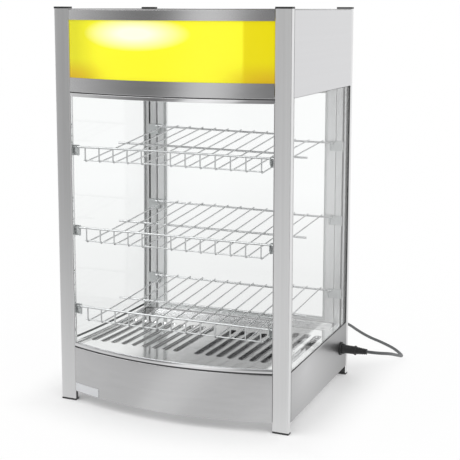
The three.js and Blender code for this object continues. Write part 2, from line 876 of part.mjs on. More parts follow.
sides.forEach(({ name, side }) => {
  const lampEnd = lampX + side * (lampLength / 2);
  const near = lampEnd - side * (socketDepth - clearance);
  const xs = [near, near + side * holderWidth].sort((a, b) => a - b);
  const body = box([xs[0], lampY - holderDepth / 2, ceilingTop + clearance], [
    xs[1], lampY + holderDepth / 2, lampZ + holderTop,
  ]);
  const mouth = [near - side * overrun, lampEnd + side * clearance].sort((a, b) => a - b);
  const socket = turnedX([
    [mouth[0], 0],
    [mouth[0], lampCapDiameter / 2 + 2 * clearance],
    [mouth[1], lampCapDiameter / 2 + 2 * clearance],
    [mouth[1], 0],
  ], lampFacets, lampY, lampZ);
  place(header, `lamp_holder_${name}`, cut(body, socket), whitePlastic);
});

// Racks: front-to-back wires turned up at the front to a top rail, on three cross wires. The
// grille rises to the rear, so that what lies on it leans towards the glass.
const rackWires = 13;
const rackWireDiameter = 2.6;
const rackRailDiameter = 4;
const rackLip = 27.5;
const rackRise = 20;
const rackFrontY = 9;
const rackFromRear = 21;
const rackMiddleShare = 0.51;
const rackTail = 4;
const rackSideRoom = 2;
const rackLowWireInset = 20;
const rackGrilleInset = 24.8;
const rackBendRadius = 4;
const rackBendSteps = 2;
const rackWireSides = 6;
const rackRailSides = 6;
const weldShare = 0.85;
const lowerRackShare = 0.1113;
const middleRackShare = 0.4226;
const upperRackShare = 0.7341;
const rackLevels = [
  { name: 'lower', z: deckTop + lowerRackShare * (headerBottom - deckTop) },
  { name: 'middle', z: deckTop + middleRackShare * (headerBottom - deckTop) },
  { name: 'upper', z: deckTop + upperRackShare * (headerBottom - deckTop) },
];
const rackRearY = cabinetDepth - rackFromRear;
const rackMiddleY = rackFrontY + rackMiddleShare * (rackRearY - rackFrontY);
const rackRailHalf = postInner - rackSideRoom;
const rackLowWireHalf = rackRailHalf - rackLowWireInset;
const rackWirePitch = (2 * (rackRailHalf - rackGrilleInset)) / (rackWires - 1);
const weldDistance = (one, other) => weldShare * (one + other) / 2;
const rackSlope = rackRise / (rackRearY - rackFrontY);
const rackWireZ = (y) => (y - rackFrontY) * rackSlope;
const rackCrossZ = (y) => rackWireZ(y) - weldDistance(rackWireDiameter, rackRailDiameter);

const makeRack = () => {
  const along = (half, y, z, diameter, sidesOfTube) => tube(
    [point(-half, y, z), point(half, y, z)],
    diameter,
    sidesOfTube,
  );
  const fold = Math.PI / 2 + Math.atan(rackSlope);
  const pieces = [
    along(rackRailHalf, rackFrontY, rackLip, rackRailDiameter, rackRailSides),
    along(
      rackLowWireHalf,
      rackFrontY + weldDistance(rackWireDiameter, rackWireDiameter),
      weldDistance(rackWireDiameter, rackWireDiameter),
      rackWireDiameter,
      rackWireSides,
    ),
    along(rackRailHalf, rackMiddleY, rackCrossZ(rackMiddleY), rackRailDiameter, rackWireSides),
    along(rackRailHalf, rackRearY, rackCrossZ(rackRearY), rackRailDiameter, rackWireSides),
  ];
  const centre = point(0, rackFrontY + rackBendRadius, rackBendRadius);
  for (let wire = 0; wire < rackWires; wire += 1) {
    const x = (wire - (rackWires - 1) / 2) * rackWirePitch;
    const stations = [point(x, rackFrontY, rackLip)];
    for (let step = 0; step <= rackBendSteps; step += 1) {
      const angle = Math.PI + (fold * step) / rackBendSteps;
      stations.push(point(
        x,
        centre.y + rackBendRadius * Math.cos(angle),
        centre.z + rackBendRadius * Math.sin(angle),
      ));
    }
    const tailY = rackRearY + rackTail;
    stations.push(point(x, tailY, rackWireZ(tailY)));
    pieces.push(tube(stations, rackWireDiameter, rackWireSides));
  }
  return join(...pieces);
};
const rackGeometry = makeRack();
rackLevels.forEach(({ name, z }) => place(chamber, `rack_${name}`, rackGeometry, wireFinish, 0, 0, z));

// Rack hangers: a strip inside each post with three hooks that come out through its slot, reach
// inwards behind the rack's rail or rear wire, and hold it in an open notch.
const stripThickness = 1.5;
const stripHalfWidth = 8;
const tongueThickness = 2.8;
const hookReach = 10;
const hookDrop = 17;
const hookRise = 3;
const prongWidth = 2.8;
const prongRise = 2;
const prongToeDrop = 8;
const notchSteps = 3;
const hookStandOff = 1.8;
const hookBack = postDepth + hookStandOff;
const notchRadius = rackRailDiameter / 2 + clearance;
const hookTip = postInner - hookReach;

const makeHanger = (corner) => {
  const seatY = corner.rear ? cabinetDepth - rackRearY : rackFrontY;
  const seatRise = corner.rear ? rackCrossZ(rackRearY) : rackLip;
  const stripNear = postSheet + clearance;
  const lowest = rackLevels[0].z + seatRise - hookDrop;
  const highest = rackLevels[rackLevels.length - 1].z + seatRise + hookRise;
  const pieces = [cornerBox(
    corner,
    [postMiddle - stripHalfWidth, stripNear, lowest],
    [postMiddle + stripHalfWidth, stripNear + stripThickness, highest],
  )];
  rackLevels.forEach(({ z }) => {
    const seatZ = z + seatRise;
    pieces.push(cornerBox(
      corner,
      [postMiddle - tongueThickness / 2, stripNear, seatZ - hookDrop],
      [postMiddle + tongueThickness / 2, hookBack + stripThickness, seatZ + hookRise],
    ));
    pieces.push(cornerBox(
      corner,
      [hookTip, hookBack, seatZ - hookDrop],
      [postMiddle + tongueThickness / 2, hookBack + stripThickness, seatZ + hookRise],
    ));
    const inward = Math.sign(hookBack - seatY);
    const cheek = new THREE.Shape();
    const at = (y, up) => [cornerY(corner, seatY + inward * y), seatZ + up];
    const farY = Math.abs(hookBack - seatY) + stripThickness;
    cheek.moveTo(...at(-notchRadius - prongWidth, prongRise));
    cheek.lineTo(...at(-notchRadius, prongRise));
    for (let step = 0; step <= notchSteps; step += 1) {
      const angle = (Math.PI * step) / notchSteps;
      cheek.lineTo(...at(-notchRadius * Math.cos(angle), -notchRadius * Math.sin(angle)));
    }
    cheek.lineTo(...at(notchRadius, hookRise));
    cheek.lineTo(...at(farY, hookRise));
    cheek.lineTo(...at(farY, -hookDrop));
    cheek.lineTo(...at(notchRadius, -hookDrop));
    cheek.lineTo(...at(-notchRadius - prongWidth, -prongToeDrop));
    cheek.closePath();
    const xs = [cornerX(corner, hookTip), cornerX(corner, hookTip + stripThickness)].sort((a, b) => a - b);
    pieces.push(alongX(cheek, xs[0], xs[1]));
  });
  return join(...pieces);
};
corners.forEach((corner) => {
  place(chamber, `rack_hanger_${corner.name}`, makeHanger(corner), greyBracket);
});

// Rear door: a pane between two stiles, edged by slim rails, that turns on two pins in the sill and
// the header. Its hinge edge is rounded about the pins, so that it clears the post.
const doorThickness = 12;
const doorStile = 23;
const doorRail = 6;
const doorGap = 0.6;
const doorEndGap = 2;
const doorBottom = basePanelTop + doorEndGap;
const doorTop = headerBottom - doorEndGap;
const doorHalf = postInner - doorGap;
const doorRear = cabinetDepth;
const doorInner = doorRear - doorThickness;
const stileRebate = 5;
const railRebate = 3;
const doorGlassThickness = 4;
const hingeX = -doorHalf + doorThickness / 2;
const hingeY = doorInner + doorThickness / 2;
const pinDiameter = 5;
const pinReach = 9;
const pinHead = 9;
const pinHeadHeight = 1.7;
const pinBore = 6.2;
const hingeFacets = 12;

const verticalPin = (diameter, low, high, facets = boreFacets) => (
  upright(regular(diameter / 2, facets), low, high).translate(hingeX, hingeY, 0)
);

const makeDoorFrame = () => {
  const face = rectangle(-doorHalf, doorBottom, doorHalf, doorTop);
  face.holes.push(rectangle(
    -doorHalf + doorStile,
    doorBottom + doorRail,
    doorHalf - doorStile,
    doorTop - doorRail,
  ));
  const frame = alongY(face, doorInner, doorRear);
  const rebate = box(
    [-doorHalf + doorStile - stileRebate, doorInner - overrun, doorBottom + doorRail - railRebate],
    [
      doorHalf - doorStile + stileRebate,
      doorInner + doorGlassThickness + clearance,
      doorTop - doorRail + railRebate,
    ],
  );
  const plan = new THREE.Shape();
  plan.moveTo(hingeX, doorInner);
  plan.lineTo(doorHalf, doorInner);
  plan.lineTo(doorHalf, doorRear);
  plan.lineTo(hingeX, doorRear);
  plan.absarc(hingeX, hingeY, doorThickness / 2, Math.PI / 2, Math.PI * 1.5, false);
  plan.closePath();
  const rounded = upright(plan, doorBottom - overrun, doorTop + overrun, hingeFacets);
  const bores = [
    verticalPin(pinBore, doorBottom - overrun, doorBottom + pinReach + clearance),
    verticalPin(pinBore, doorTop - pinReach - clearance, doorTop + overrun),
  ];
  return cut(common(frame, rounded), rebate, ...bores);
};
place(chamber, 'rear_door_frame', makeDoorFrame(), aluminium);

const paneHalf = doorHalf - doorStile + stileRebate - clearance;
const paneInset = doorRail - railRebate + clearance;
place(chamber, 'rear_door_glass', box(
  [-paneHalf, doorInner, doorBottom + paneInset],
  [paneHalf, doorInner + doorGlassThickness, doorTop - paneInset],
), clearGlass);

place(chamber, 'hinge_pin_lower', join(
  verticalPin(pinHead, basePanelTop, basePanelTop + pinHeadHeight),
  verticalPin(pinDiameter, basePanelTop, doorBottom + pinReach),
), brightSteel);
place(chamber, 'hinge_pin_upper', join(
  verticalPin(pinHead, headerBottom - pinHeadHeight, headerBottom),
  verticalPin(pinDiameter, doorTop - pinReach, headerBottom),
), brightSteel);

// Door handle: a moulded bow on the free stile, with room for fingers behind it.
const handleX = doorHalf - doorStile / 2;
const handleZ = (doorBottom + doorTop) / 2;
const handleHalf = 60;
const handleFootLength = 14;
const handleStand = 28;
const handleBar = 9;
const handleWidth = 14;
const handleSlope = 10;

const makeHandle = () => alongX(polygon([
  [0, -handleHalf],
  [handleStand - handleBar / 2, -handleHalf + handleSlope / 2],
  [handleStand, -handleHalf + handleSlope],
  [handleStand, handleHalf - handleSlope],
  [handleStand - handleBar / 2, handleHalf - handleSlope / 2],
  [0, handleHalf],
  [0, handleHalf - handleFootLength],
  [handleStand - handleBar, handleHalf - handleFootLength - handleSlope],
  [handleStand - handleBar, -handleHalf + handleFootLength + handleSlope],
  [0, -handleHalf + handleFootLength],
]), -handleWidth / 2, handleWidth / 2);
place(chamber, 'door_handle', makeHandle(), blackPlastic, handleX, doorRear + clearance, handleZ);

// Magnetic catch under the header's rear flange, against the door's top rail.
const catchLength = 42;
const catchX = doorHalf - doorStile - catchLength;
const catchDepth = 13;
const catchHeight = 14;
place(chamber, 'door_catch', box(
  [catchX, doorInner - clearance - catchDepth, headerBottom - clearance - catchHeight],
  [catchX + catchLength, doorInner - clearance, headerBottom - clearance],
), whitePlastic);

// Gland and boot
const makeGland = () => {
  const barrel = turnedX([
    [postOuter - glandBarrelLength, 0],
    [postOuter - glandBarrelLength, glandBarrelDiameter / 2],
    [glandFace, glandBarrelDiameter / 2],
    [glandFace, glandFlangeDiameter / 2],
    [glandFace + glandFlangeThickness, glandFlangeDiameter / 2],
    [glandFace + glandFlangeThickness, 0],
  ], glandFacets, glandY, glandZ);
  const nutFace = postOuter - sheet - clearance;
  const nut = alongX(regular(nutAcross / 2, 6), nutFace - nutThickness, nutFace).translate(0, glandY, glandZ);
  return join(barrel, nut);
};
place(supply, 'cord_gland', makeGland(), blackPlastic);

const cordDiameter = 6.5;
const bootStart = glandFace + glandFlangeThickness + clearance;
const bootLength = 53;
const bootCollarLength = 5;
const bootCollarDiameter = 20;
const bootBodyDiameter = 14.5;
const bootBodyEnd = 27;
const bootRingDiameter = 17;
const bootRingLength = 3;
const bootTailDiameter = 12.5;
const bootTailEndDiameter = 10;
const bootRibs = 4;
const bootRibDepth = 1.1;

const makeBoot = () => {
  const profile = [
    [0, 0],
    [0, bootCollarDiameter / 2],
    [bootCollarLength, bootCollarDiameter / 2],
    [bootCollarLength, bootBodyDiameter / 2],
    [bootBodyEnd, bootBodyDiameter / 2],
    [bootBodyEnd, bootRingDiameter / 2],
    [bootBodyEnd + bootRingLength, bootRingDiameter / 2],
  ];
  const tailStart = bootBodyEnd + bootRingLength;
  const ribPitch = (bootLength - tailStart) / bootRibs;
  for (let rib = 0; rib < bootRibs; rib += 1) {
    const from = tailStart + rib * ribPitch;
    const share = rib / (bootRibs - 1);
    const radius = THREE.MathUtils.lerp(bootTailDiameter, bootTailEndDiameter, share) / 2;
    profile.push([from, radius - bootRibDepth]);
    profile.push([from + ribPitch / 2, radius - bootRibDepth]);
    profile.push([from + ribPitch / 2, radius]);
    profile.push([from + ribPitch, radius]);
  }
  profile.push([bootLength, 0]);
  return turnedX(profile, glandFacets, glandY, glandZ);
};
place(supply, 'cord_boot', makeBoot(), blackRubber, bootStart);

// Supply cord: out of the boot, down to the counter, round behind the cabinet and into its coil.
const cordStart = bootStart + bootLength + clearance;
const cordFacets = 8;
const cordStep = 2.5 * cordDiameter;
const layZ = cordDiameter / 2 + clearance;
const coilZ = 4.8;
const cordRoute = [
  [cordStart, glandY, glandZ],
  [cordStart + 1.5 * cordDiameter, glandY, glandZ],
  [322, 321.4, 68.7],
  [333.5, 332.8, 66],
  [337.6, 348.6, 61],
  [338.3, 371, 53.3],
  [337.8, 398, 43.5],
  [336, 428, 33],
  [333, 458, 22.5],
  [328.5, 486, 13.5],
  [321.5, 512, 7],
  [310, 536, layZ],
  [293, 558, layZ],
  [272, 578, layZ],
  [249, 597, layZ],
  [223, 616, layZ],
  [197, 640, layZ],
  [171, 668, layZ],
  [148, 694, layZ],
  [126, 710, layZ],
  [100, 710, layZ],
  [77, 695, layZ],
  [63, 671, layZ],
  [57, 647, coilZ],
  [57, 622, coilZ],
];

const routeCurve = new THREE.CatmullRomCurve3(
  cordRoute.map(([x, y, z]) => point(x, y, z)),
  false,
  'centripetal',
);
const routeSteps = Math.round(routeCurve.getLength() / cordStep);
const routeStations = routeCurve.getSpacedPoints(routeSteps);
place(supply, 'cord', tube(routeStations, cordDiameter, cordFacets), greyCord);

// The coil: two layers that spiral in and out again, then a tail up to the plug.
const coilMeanDiameter = 72;
const coilTurnsEachLayer = 1.75;
const coilGap = 1.6;
const coilPitch = cordDiameter + coilGap;
const coilSteps = 24;
const coilSides = 6;
const coilRadiusOuter = coilMeanDiameter / 2 + (coilPitch * coilTurnsEachLayer) / 2;
const coilRadiusInner = coilRadiusOuter - coilPitch * coilTurnsEachLayer;
const coilEntry = routeStations[routeStations.length - 1];
const coilCentre = point(coilEntry.x - coilRadiusOuter, coilEntry.y - clearance - cordDiameter, coilZ);

const plugCentreZ = 18;
const tailLength = 62;
const tailSteps = 5;

const coilStations = () => {
  const stations = [coilEntry.clone().setY(coilEntry.y - clearance)];
  const layerAngle = 2 * Math.PI * coilTurnsEachLayer;
  const climbAngle = Math.PI;
  const total = 2 * layerAngle + climbAngle;
  const steps = Math.round((total / (2 * Math.PI)) * coilSteps);
  for (let step = 0; step <= steps; step += 1) {
    const angle = (total * step) / steps;
    const inward = Math.min(angle, layerAngle);
    const outward = Math.max(angle - layerAngle - climbAngle, 0);
    const climbed = THREE.MathUtils.clamp((angle - layerAngle) / climbAngle, 0, 1);
    const radius = coilRadiusOuter + (coilPitch * (outward - inward)) / (2 * Math.PI);
    stations.push(point(
      coilCentre.x + radius * Math.cos(angle),
      coilCentre.y - radius * Math.sin(angle),
      coilCentre.z + coilPitch * THREE.MathUtils.smoothstep(climbed, 0, 1),
    ));
  }
  const last = stations[stations.length - 1];
  const heading = last.clone().sub(stations[stations.length - 2]).setZ(0).normalize();
  for (let step = 1; step <= tailSteps; step += 1) {
    const share = step / tailSteps;
    const rise = (plugCentreZ - last.z) * THREE.MathUtils.smoothstep(share, 0, 1);
    stations.push(last.clone().addScaledVector(heading, tailLength * share).setZ(last.z + rise));
  }
  return { stations, heading };
};
const coil = coilStations();
place(supply, 'cord_coil', tube(coil.stations, cordDiameter, coilSides), greyCord);

// The least gap between turns, and the cord's whole length, from the stations.
const pathLength = (stations) => stations.slice(1).reduce(
  (sum, station, i) => sum + station.distanceTo(stations[i]),
  0,
);
const leastGap = (stations, apart) => {
  let least = Infinity;
  const span = new THREE.Line3();
  const nearest = new THREE.Vector3();
  for (let i = 0; i < stations.length; i += 1) {
    for (let j = i + apart; j < stations.length - 1; j += 1) {
      span.set(stations[j], stations[j + 1]).closestPointToPoint(stations[i], true, nearest);
      least = Math.min(least, nearest.distanceTo(stations[i]));
    }
  }
  return least;
};
console.log(`coil: least gap to itself ${(leastGap(coil.stations, coilSteps / 3) - cordDiameter).toFixed(2)} mm`);
console.log(`cord: ${(pathLength(routeStations) + pathLength(coil.stations)).toFixed(0)} mm outside the boot`);

// Tie round the coil's bundle.
const tieThickness = 1.2;
const tieWidth = 12;
const tieSlack = 0.35;
const tieAngle = THREE.MathUtils.degToRad(200);

const makeTie = () => {
  const low = coilCentre.z - cordDiameter / 2 - tieSlack;
  const high = coilCentre.z + coilPitch + cordDiameter / 2 + tieSlack;
  const near = coilRadiusInner - coilPitch / 2 - tieSlack;
  const far = coilRadiusOuter + coilPitch / 2 + tieSlack;
  const ring = rectangle(near - tieThickness, low - tieThickness, far + tieThickness, high + tieThickness);
  ring.holes.push(rectangle(near, low, far, high));
  return alongY(ring, -tieWidth / 2, tieWidth / 2);
};
const tie = place(supply, 'cord_tie', makeTie(), blackPlastic, coilCentre.x, coilCentre.y, 0);
tie.rotation.z = tieAngle;

// Plug: a straight moulded plug with two round pins, lying beside the coil.
const plugBodyDiameter = 35;
const plugBodyLength = 34;
const plugNeckDiameter = 12;
const plugNeckLength = 16;
const plugShoulder = 8;
const plugFacets = 20;
const pinSpacing = 19;
const contactDiameter = 4.8;
const contactLength = 19;
const contactFacets = 10;

const makePlug = () => {
  const body = turnedX([
    [0, 0],
    [0, plugNeckDiameter / 2 - bootRibDepth],
    [plugNeckLength, plugNeckDiameter / 2],
    [plugNeckLength + plugShoulder, plugBodyDiameter / 2],
    [plugNeckLength + plugBodyLength, plugBodyDiameter / 2],
    [plugNeckLength + plugBodyLength, 0],
  ], plugFacets, 0, 0);
  const face = plugNeckLength + plugBodyLength;
  const contacts = [-1, 1].map((side) => alongX(
    regular(contactDiameter / 2, contactFacets),
    face - overrun,
    face + contactLength,
  ).translate(0, (side * pinSpacing) / 2, 0));
  return join(body, ...contacts);
};
const tailEnd = coil.stations[coil.stations.length - 1].clone().addScaledVector(coil.heading, clearance);
const plug = place(supply, 'plug', makePlug(), blackPlastic, tailEnd.x, tailEnd.y, tailEnd.z);
plug.rotation.z = Math.atan2(coil.heading.y, coil.heading.x);

// The origin is on the counter, under the middle of the cabinet's own outline.
const outlineFront = -frontBow;
const outlineRear = doorRear + clearance + handleStand;
cabinet.position.y = -(outlineFront + outlineRear) / 2;

export default cabinet;
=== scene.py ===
"""A heated display cabinet on a shop counter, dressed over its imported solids."""
import math

import bmesh
import bpy
import numpy as np
from mathutils import Matrix, Vector


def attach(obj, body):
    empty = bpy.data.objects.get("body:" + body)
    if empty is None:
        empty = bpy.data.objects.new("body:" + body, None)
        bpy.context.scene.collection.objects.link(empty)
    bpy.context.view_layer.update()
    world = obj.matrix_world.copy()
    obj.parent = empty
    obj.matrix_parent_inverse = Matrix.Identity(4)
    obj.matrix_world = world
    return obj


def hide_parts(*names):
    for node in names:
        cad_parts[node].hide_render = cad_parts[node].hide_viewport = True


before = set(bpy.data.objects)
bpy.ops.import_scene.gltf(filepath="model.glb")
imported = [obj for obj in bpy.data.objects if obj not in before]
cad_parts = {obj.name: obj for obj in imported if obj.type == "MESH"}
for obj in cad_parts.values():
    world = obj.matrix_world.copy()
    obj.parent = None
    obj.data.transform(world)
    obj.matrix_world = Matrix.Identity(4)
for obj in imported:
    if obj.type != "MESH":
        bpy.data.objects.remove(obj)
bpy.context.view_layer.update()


# The camera stands in front of the cabinet, to its right and a little above the header, turned
# to the cabinet's middle. Its shift keeps the posts close to upright.
view_turn, view_tilt, view_roll = math.radians(-23.06), math.radians(-8.159), math.radians(0.094)
focal_pixels, picture_pixels = 1061.9, 460
view_direction = Vector((
    math.sin(view_turn) * math.cos(view_tilt), math.cos(view_turn) * math.cos(view_tilt),
    math.sin(view_tilt)))
view_right = view_direction.cross(Vector((0, 0, 1))).normalized()
view_up = view_right.cross(view_direction)
tilted_right = view_right * math.cos(view_roll) + view_up * math.sin(view_roll)
tilted_up = view_up * math.cos(view_roll) - view_right * math.sin(view_roll)
lens = bpy.data.cameras.new("camera")
lens.sensor_width = 36.0
lens.lens = focal_pixels / picture_pixels * lens.sensor_width
lens.shift_y = -0.15
camera = bpy.data.objects.new("camera", lens)
bpy.context.scene.collection.objects.link(camera)
camera.matrix_world = Matrix.Translation((0.8640, -1.9209, 0.7703)) @ Matrix((
    tilted_right, tilted_up, -view_direction)).transposed().to_4x4()
bpy.context.scene.camera = camera


# The supply cord is a grey round lead. It leaves the boot level, falls to the counter behind the
# cabinet, runs round into a small coil of two layers held by a tie, and rises into the plug. Its
# points are in millimetres, with y from the cabinet's front row of posts.
ROW = -0.18165
CORD = 0.0065
LYING = 3.55
lead_points = np.array([
    [291.0, 317.6, 69.4], [296.9, 317.6, 69.4], [306.65, 317.6, 69.4], [322, 321.4, 68.7],
    [333.5, 332.8, 66], [337.6, 348.6, 61], [338.3, 371, 53.3], [337.8, 398, 43.5], [336, 428, 33],
    [333, 458, 22.5], [328.5, 486, 13.5], [321.5, 512, 7], [310, 536, LYING], [293, 558, LYING],
    [272, 578, LYING], [249, 597, LYING], [223, 616, LYING], [197, 640, LYING], [171, 668, LYING],
    [148, 694, LYING], [126, 710, LYING], [100, 710, LYING], [77, 695, LYING], [63, 671, LYING],
    [57, 647, 4.8], [57, 622, 4.8],
]) / 1000 + np.array([0, ROW, 0])


def smooth_run(points, step):
    """The centripetal Catmull-Rom curve through the points: knots lie apart by the root of the
    distance, each span is the Hermite cubic with the slopes of that spacing, and the run is then
    cut at equal lengths of about one step."""
    padded = np.vstack([2 * points[0] - points[1], points, 2 * points[-1] - points[-2]])
    gaps = np.sqrt(np.linalg.norm(np.diff(padded, axis=0), axis=1))[:, None]
    before, here, after = gaps[:-2], gaps[1:-1], gaps[2:]
    first, second, third, fourth = padded[:-3], padded[1:-2], padded[2:-1], padded[3:]
    leave = ((second - first) / before - (third - first) / (before + here)
             + (third - second) / here) * here
    arrive = ((third - second) / here - (fourth - second) / (here + after)
              + (fourth - third) / after) * here
    t = np.linspace(0, 1, 24, endpoint=False)[:, None, None]
    spans = ((2 * t**3 - 3 * t**2 + 1) * second + (t**3 - 2 * t**2 + t) * leave
             + (3 * t**2 - 2 * t**3) * third + (t**3 - t**2) * arrive)
    dense = np.vstack([spans.transpose(1, 0, 2).reshape(-1, 3), points[-1:]])
    return even_run(dense, step)


def even_run(dense, step):
    """The same line with its points at equal lengths along it, about one step apart."""
    run = np.concatenate([[0], np.cumsum(np.linalg.norm(np.diff(dense, axis=0), axis=1))])
    marks = np.linspace(0, run[-1], int(round(run[-1] / step)) + 1)
    return np.stack([np.interp(marks, run, dense[:, axis]) for axis in range(3)], axis=1)


COIL_LOW = 0.0048
COIL_RADIUS = 0.036
LAYER_TURNS = 1.75
TAIL = 0.062
PLUG_HEIGHT = 0.018
coil_pitch = CORD + 0.0016
coil_outer = COIL_RADIUS + coil_pitch * LAYER_TURNS / 2
coil_middle = lead_points[-1] + np.array([-coil_outer, -0.0003 - CORD, 0])
layer_turn = 2 * math.pi * LAYER_TURNS
whole_turn = 2 * layer_turn + math.pi
turn = np.linspace(0, whole_turn, 4 * int(round(whole_turn / (2 * math.pi) * 24)) + 1)
coil_radius = coil_outer + coil_pitch * (
    np.maximum(turn - layer_turn - math.pi, 0) - np.minimum(turn, layer_turn)) / (2 * math.pi)
climb = np.clip((turn - layer_turn) / math.pi, 0, 1)
coil_points = np.stack([
    coil_middle[0] + coil_radius * np.cos(turn),
    coil_middle[1] - coil_radius * np.sin(turn),
    COIL_LOW + coil_pitch * climb**2 * (3 - 2 * climb),
], axis=1)
heading = coil_points[-1] - coil_points[-5]
heading = heading * [1, 1, 0] / np.linalg.norm(heading[:2])
tail = np.linspace(0, 1, 13)[1:, None]
tail_points = coil_points[-1] + heading * TAIL * tail
tail_points[:, 2] += (PLUG_HEIGHT - coil_points[-1, 2]) * (tail**2 * (3 - 2 * tail))[:, 0]
plug_start = tail_points[-1].copy()
lead_line = np.vstack([
    smooth_run(lead_points, 0.006), even_run(np.vstack([coil_points, tail_points]), 0.004)])


def skins(name, grids, around=True, ends=True):
    """One piece over several grids of points. Row i, column j of a grid is a corner, and each cell
    between neighbours is a face. around joins the last column to the first, and ends closes the
    first and the last row with one face each. Doubles are merged, faces point outwards, and the
    shading is smooth but for edges that turn by more than 35 degrees."""
    corners, faces, start = [], [], 0
    for grid in grids:
        rows, columns = grid.shape[:2]
        index = start + np.arange(rows * columns).reshape(rows, columns)
        wrapped = np.hstack([index, index[:, :1]]) if around else index
        cells = np.stack([wrapped[:-1, :-1], wrapped[:-1, 1:], wrapped[1:, 1:], wrapped[1:, :-1]], axis=-1)
        faces += cells.reshape(-1, 4).tolist()
        if ends:
            faces += [index[0, ::-1].tolist(), index[-1].tolist()]
        corners.append(grid.reshape(-1, 3))
        start += rows * columns
    mesh = bpy.data.meshes.new(name)
    mesh.from_pydata(np.concatenate(corners).tolist(), [], faces)
    shell = bmesh.new()
    shell.from_mesh(mesh)
    bmesh.ops.remove_doubles(shell, verts=shell.verts, dist=1e-6)
    bmesh.ops.recalc_face_normals(shell, faces=shell.faces)
    shell.to_mesh(mesh)
    shell.free()
    mesh.shade_smooth()
    mesh.set_sharp_from_angle(angle=math.radians(35))
    piece = bpy.data.objects.new(name, mesh)
    bpy.context.scene.collection.objects.link(piece)
    return piece


def rod(line, radius, sides):
    """A round rod along a line: at each point a ring of corners round the tangent, each ring's
    axes carried from the one before without twist. radius is one number or one for each point."""
    tangents = np.gradient(line, axis=0)
    tangents /= np.linalg.norm(tangents, axis=1)[:, None]
    across = np.cross(tangents[0], [0.3, 0.2, 1.0])
    carried = []
    for tangent in tangents:
        across = across - tangent * (across @ tangent)
        across /= np.linalg.norm(across)
        carried.append(across)
    carried = np.array(carried)
    other = np.cross(tangents, carried)
    angle = np.linspace(0, 2 * math.pi, sides, endpoint=False)
    reach = np.broadcast_to(radius, len(line))[:, None, None]
    ring = carried[:, None] * np.cos(angle)[None, :, None] + other[:, None] * np.sin(angle)[None, :, None]
    return line[:, None] + ring * reach


def fill(node, inputs):
    """The node, with each input named or numbered given a value or the socket that feeds it. A
    node given for an input stands for its first output in use."""
    for key, given in dict(inputs).items():
        if isinstance(given, bpy.types.Node):
            given = next(socket for socket in given.outputs if socket.enabled)
        if isinstance(given, bpy.types.NodeSocket):
            node.id_data.links.new(given, node.inputs[key])
        else:
            node.inputs[key].default_value = given
    return node


def add_node(tree, kind, inputs=(), **settings):
    """A shader node of a kind, its settings given by name and its inputs as fill takes them."""
    node = tree.nodes.new("ShaderNode" + kind)
    for key, value in settings.items():
        setattr(node, key, value)
    return fill(node, inputs)


def reckon(tree, operation, *values):
    """The result of a mathematical operation on values or sockets."""
    return add_node(tree, "Math", dict(enumerate(values)), operation=operation)


def blend(tree, share, first, second, way="MIX"):
    """A colour between two, each a grey, three shares, or the node or socket that feeds it."""
    fed = bpy.types.Node, bpy.types.NodeSocket
    first, second = (
        given if isinstance(given, fed) else (*np.broadcast_to(given, 3), 1) for given in (first, second))
    return add_node(
        tree, "Mix", {"Factor": share, "A": first, "B": second}, data_type="RGBA", blend_type=way)


def new_group(name, inputs):
    """An empty node group that takes these sockets, each a name and a kind, and puts out a colour,
    a roughness and a normal: the group, what it takes by name, and its end node."""
    group = bpy.data.node_groups.new(name, "ShaderNodeTree")
    outputs = {"Colour": "Color", "Roughness": "Float", "Normal": "Vector"}
    for in_out, sockets in (("INPUT", inputs), ("OUTPUT", outputs)):
        for label, kind in sockets.items():
            group.interface.new_socket(name=label, in_out=in_out, socket_type="NodeSocket" + kind)
    return group, group.nodes.new("NodeGroupInput").outputs, group.nodes.new("NodeGroupOutput")


def grouped_finish(name, group, metallic, values):
    """A material whose colour, roughness and normal come from a group, and the group's node."""
    finish = bpy.data.materials.new(name)
    finish.use_nodes = True
    texture = add_node(finish.node_tree, "Group", node_tree=group)
    fill(texture, values)
    fill(finish.node_tree.nodes["Principled BSDF"], {
        "Metallic": metallic, "Base Color": texture.outputs["Colour"],
        "Roughness": texture.outputs["Roughness"], "Normal": texture.outputs["Normal"]})
    return finish, texture


# Moulded texture: fine grains that lift the surface, and soft patches where it is a little
# duller, as on moulded plastic, rubber and paint.
moulded, taken, group_end = new_group("moulded texture", {
    "Colour": "Color", "Roughness": "Float", "Grain": "Float", "Depth": "Float", "Dust": "Float"})
place = add_node(moulded, "TexCoord").outputs["Object"]
grains = add_node(moulded, "TexNoise", {
    "Vector": place, "Scale": taken["Grain"], "Detail": 2.0, "Roughness": 0.6})
patches = add_node(moulded, "TexNoise", {"Vector": place, "Scale": 22.0, "Detail": 3.0})
fill(group_end, {
    "Colour": blend(
        moulded, reckon(moulded, "MULTIPLY", patches, taken["Dust"]), taken["Colour"], (0.45, 0.45, 0.44)),
    "Roughness": reckon(moulded, "MULTIPLY_ADD", patches, taken["Dust"], taken["Roughness"]),
    "Normal": add_node(moulded, "Bump", {"Height": grains, "Strength": taken["Depth"], "Distance": 0.0001}),
})


def moulded_finish(name, colour, roughness, grain, depth, dust, metallic=0.0):
    """A material of the moulded texture."""
    return grouped_finish(name, moulded, metallic, {
        "Colour": (*colour, 1), "Roughness": roughness, "Grain": grain, "Depth": depth, "Dust": dust})[0]


def wear(finish, slot_name, *objects):
    """The pieces take the material. slot_name, the record's slot that it follows, is not used."""
    for piece in objects:
        piece.data.materials.clear()
        piece.data.materials.append(finish)


cord_sheath = moulded_finish("grey cord sheath", (0.11, 0.115, 0.118), 0.5, 1500.0, 0.15, 0.06)
black_rubber = moulded_finish("black rubber", (0.018, 0.018, 0.019), 0.58, 1200.0, 0.3, 0.05)
black_plastic = moulded_finish("black moulded plastic", (0.014, 0.014, 0.015), 0.42, 1100.0, 0.35, 0.04)

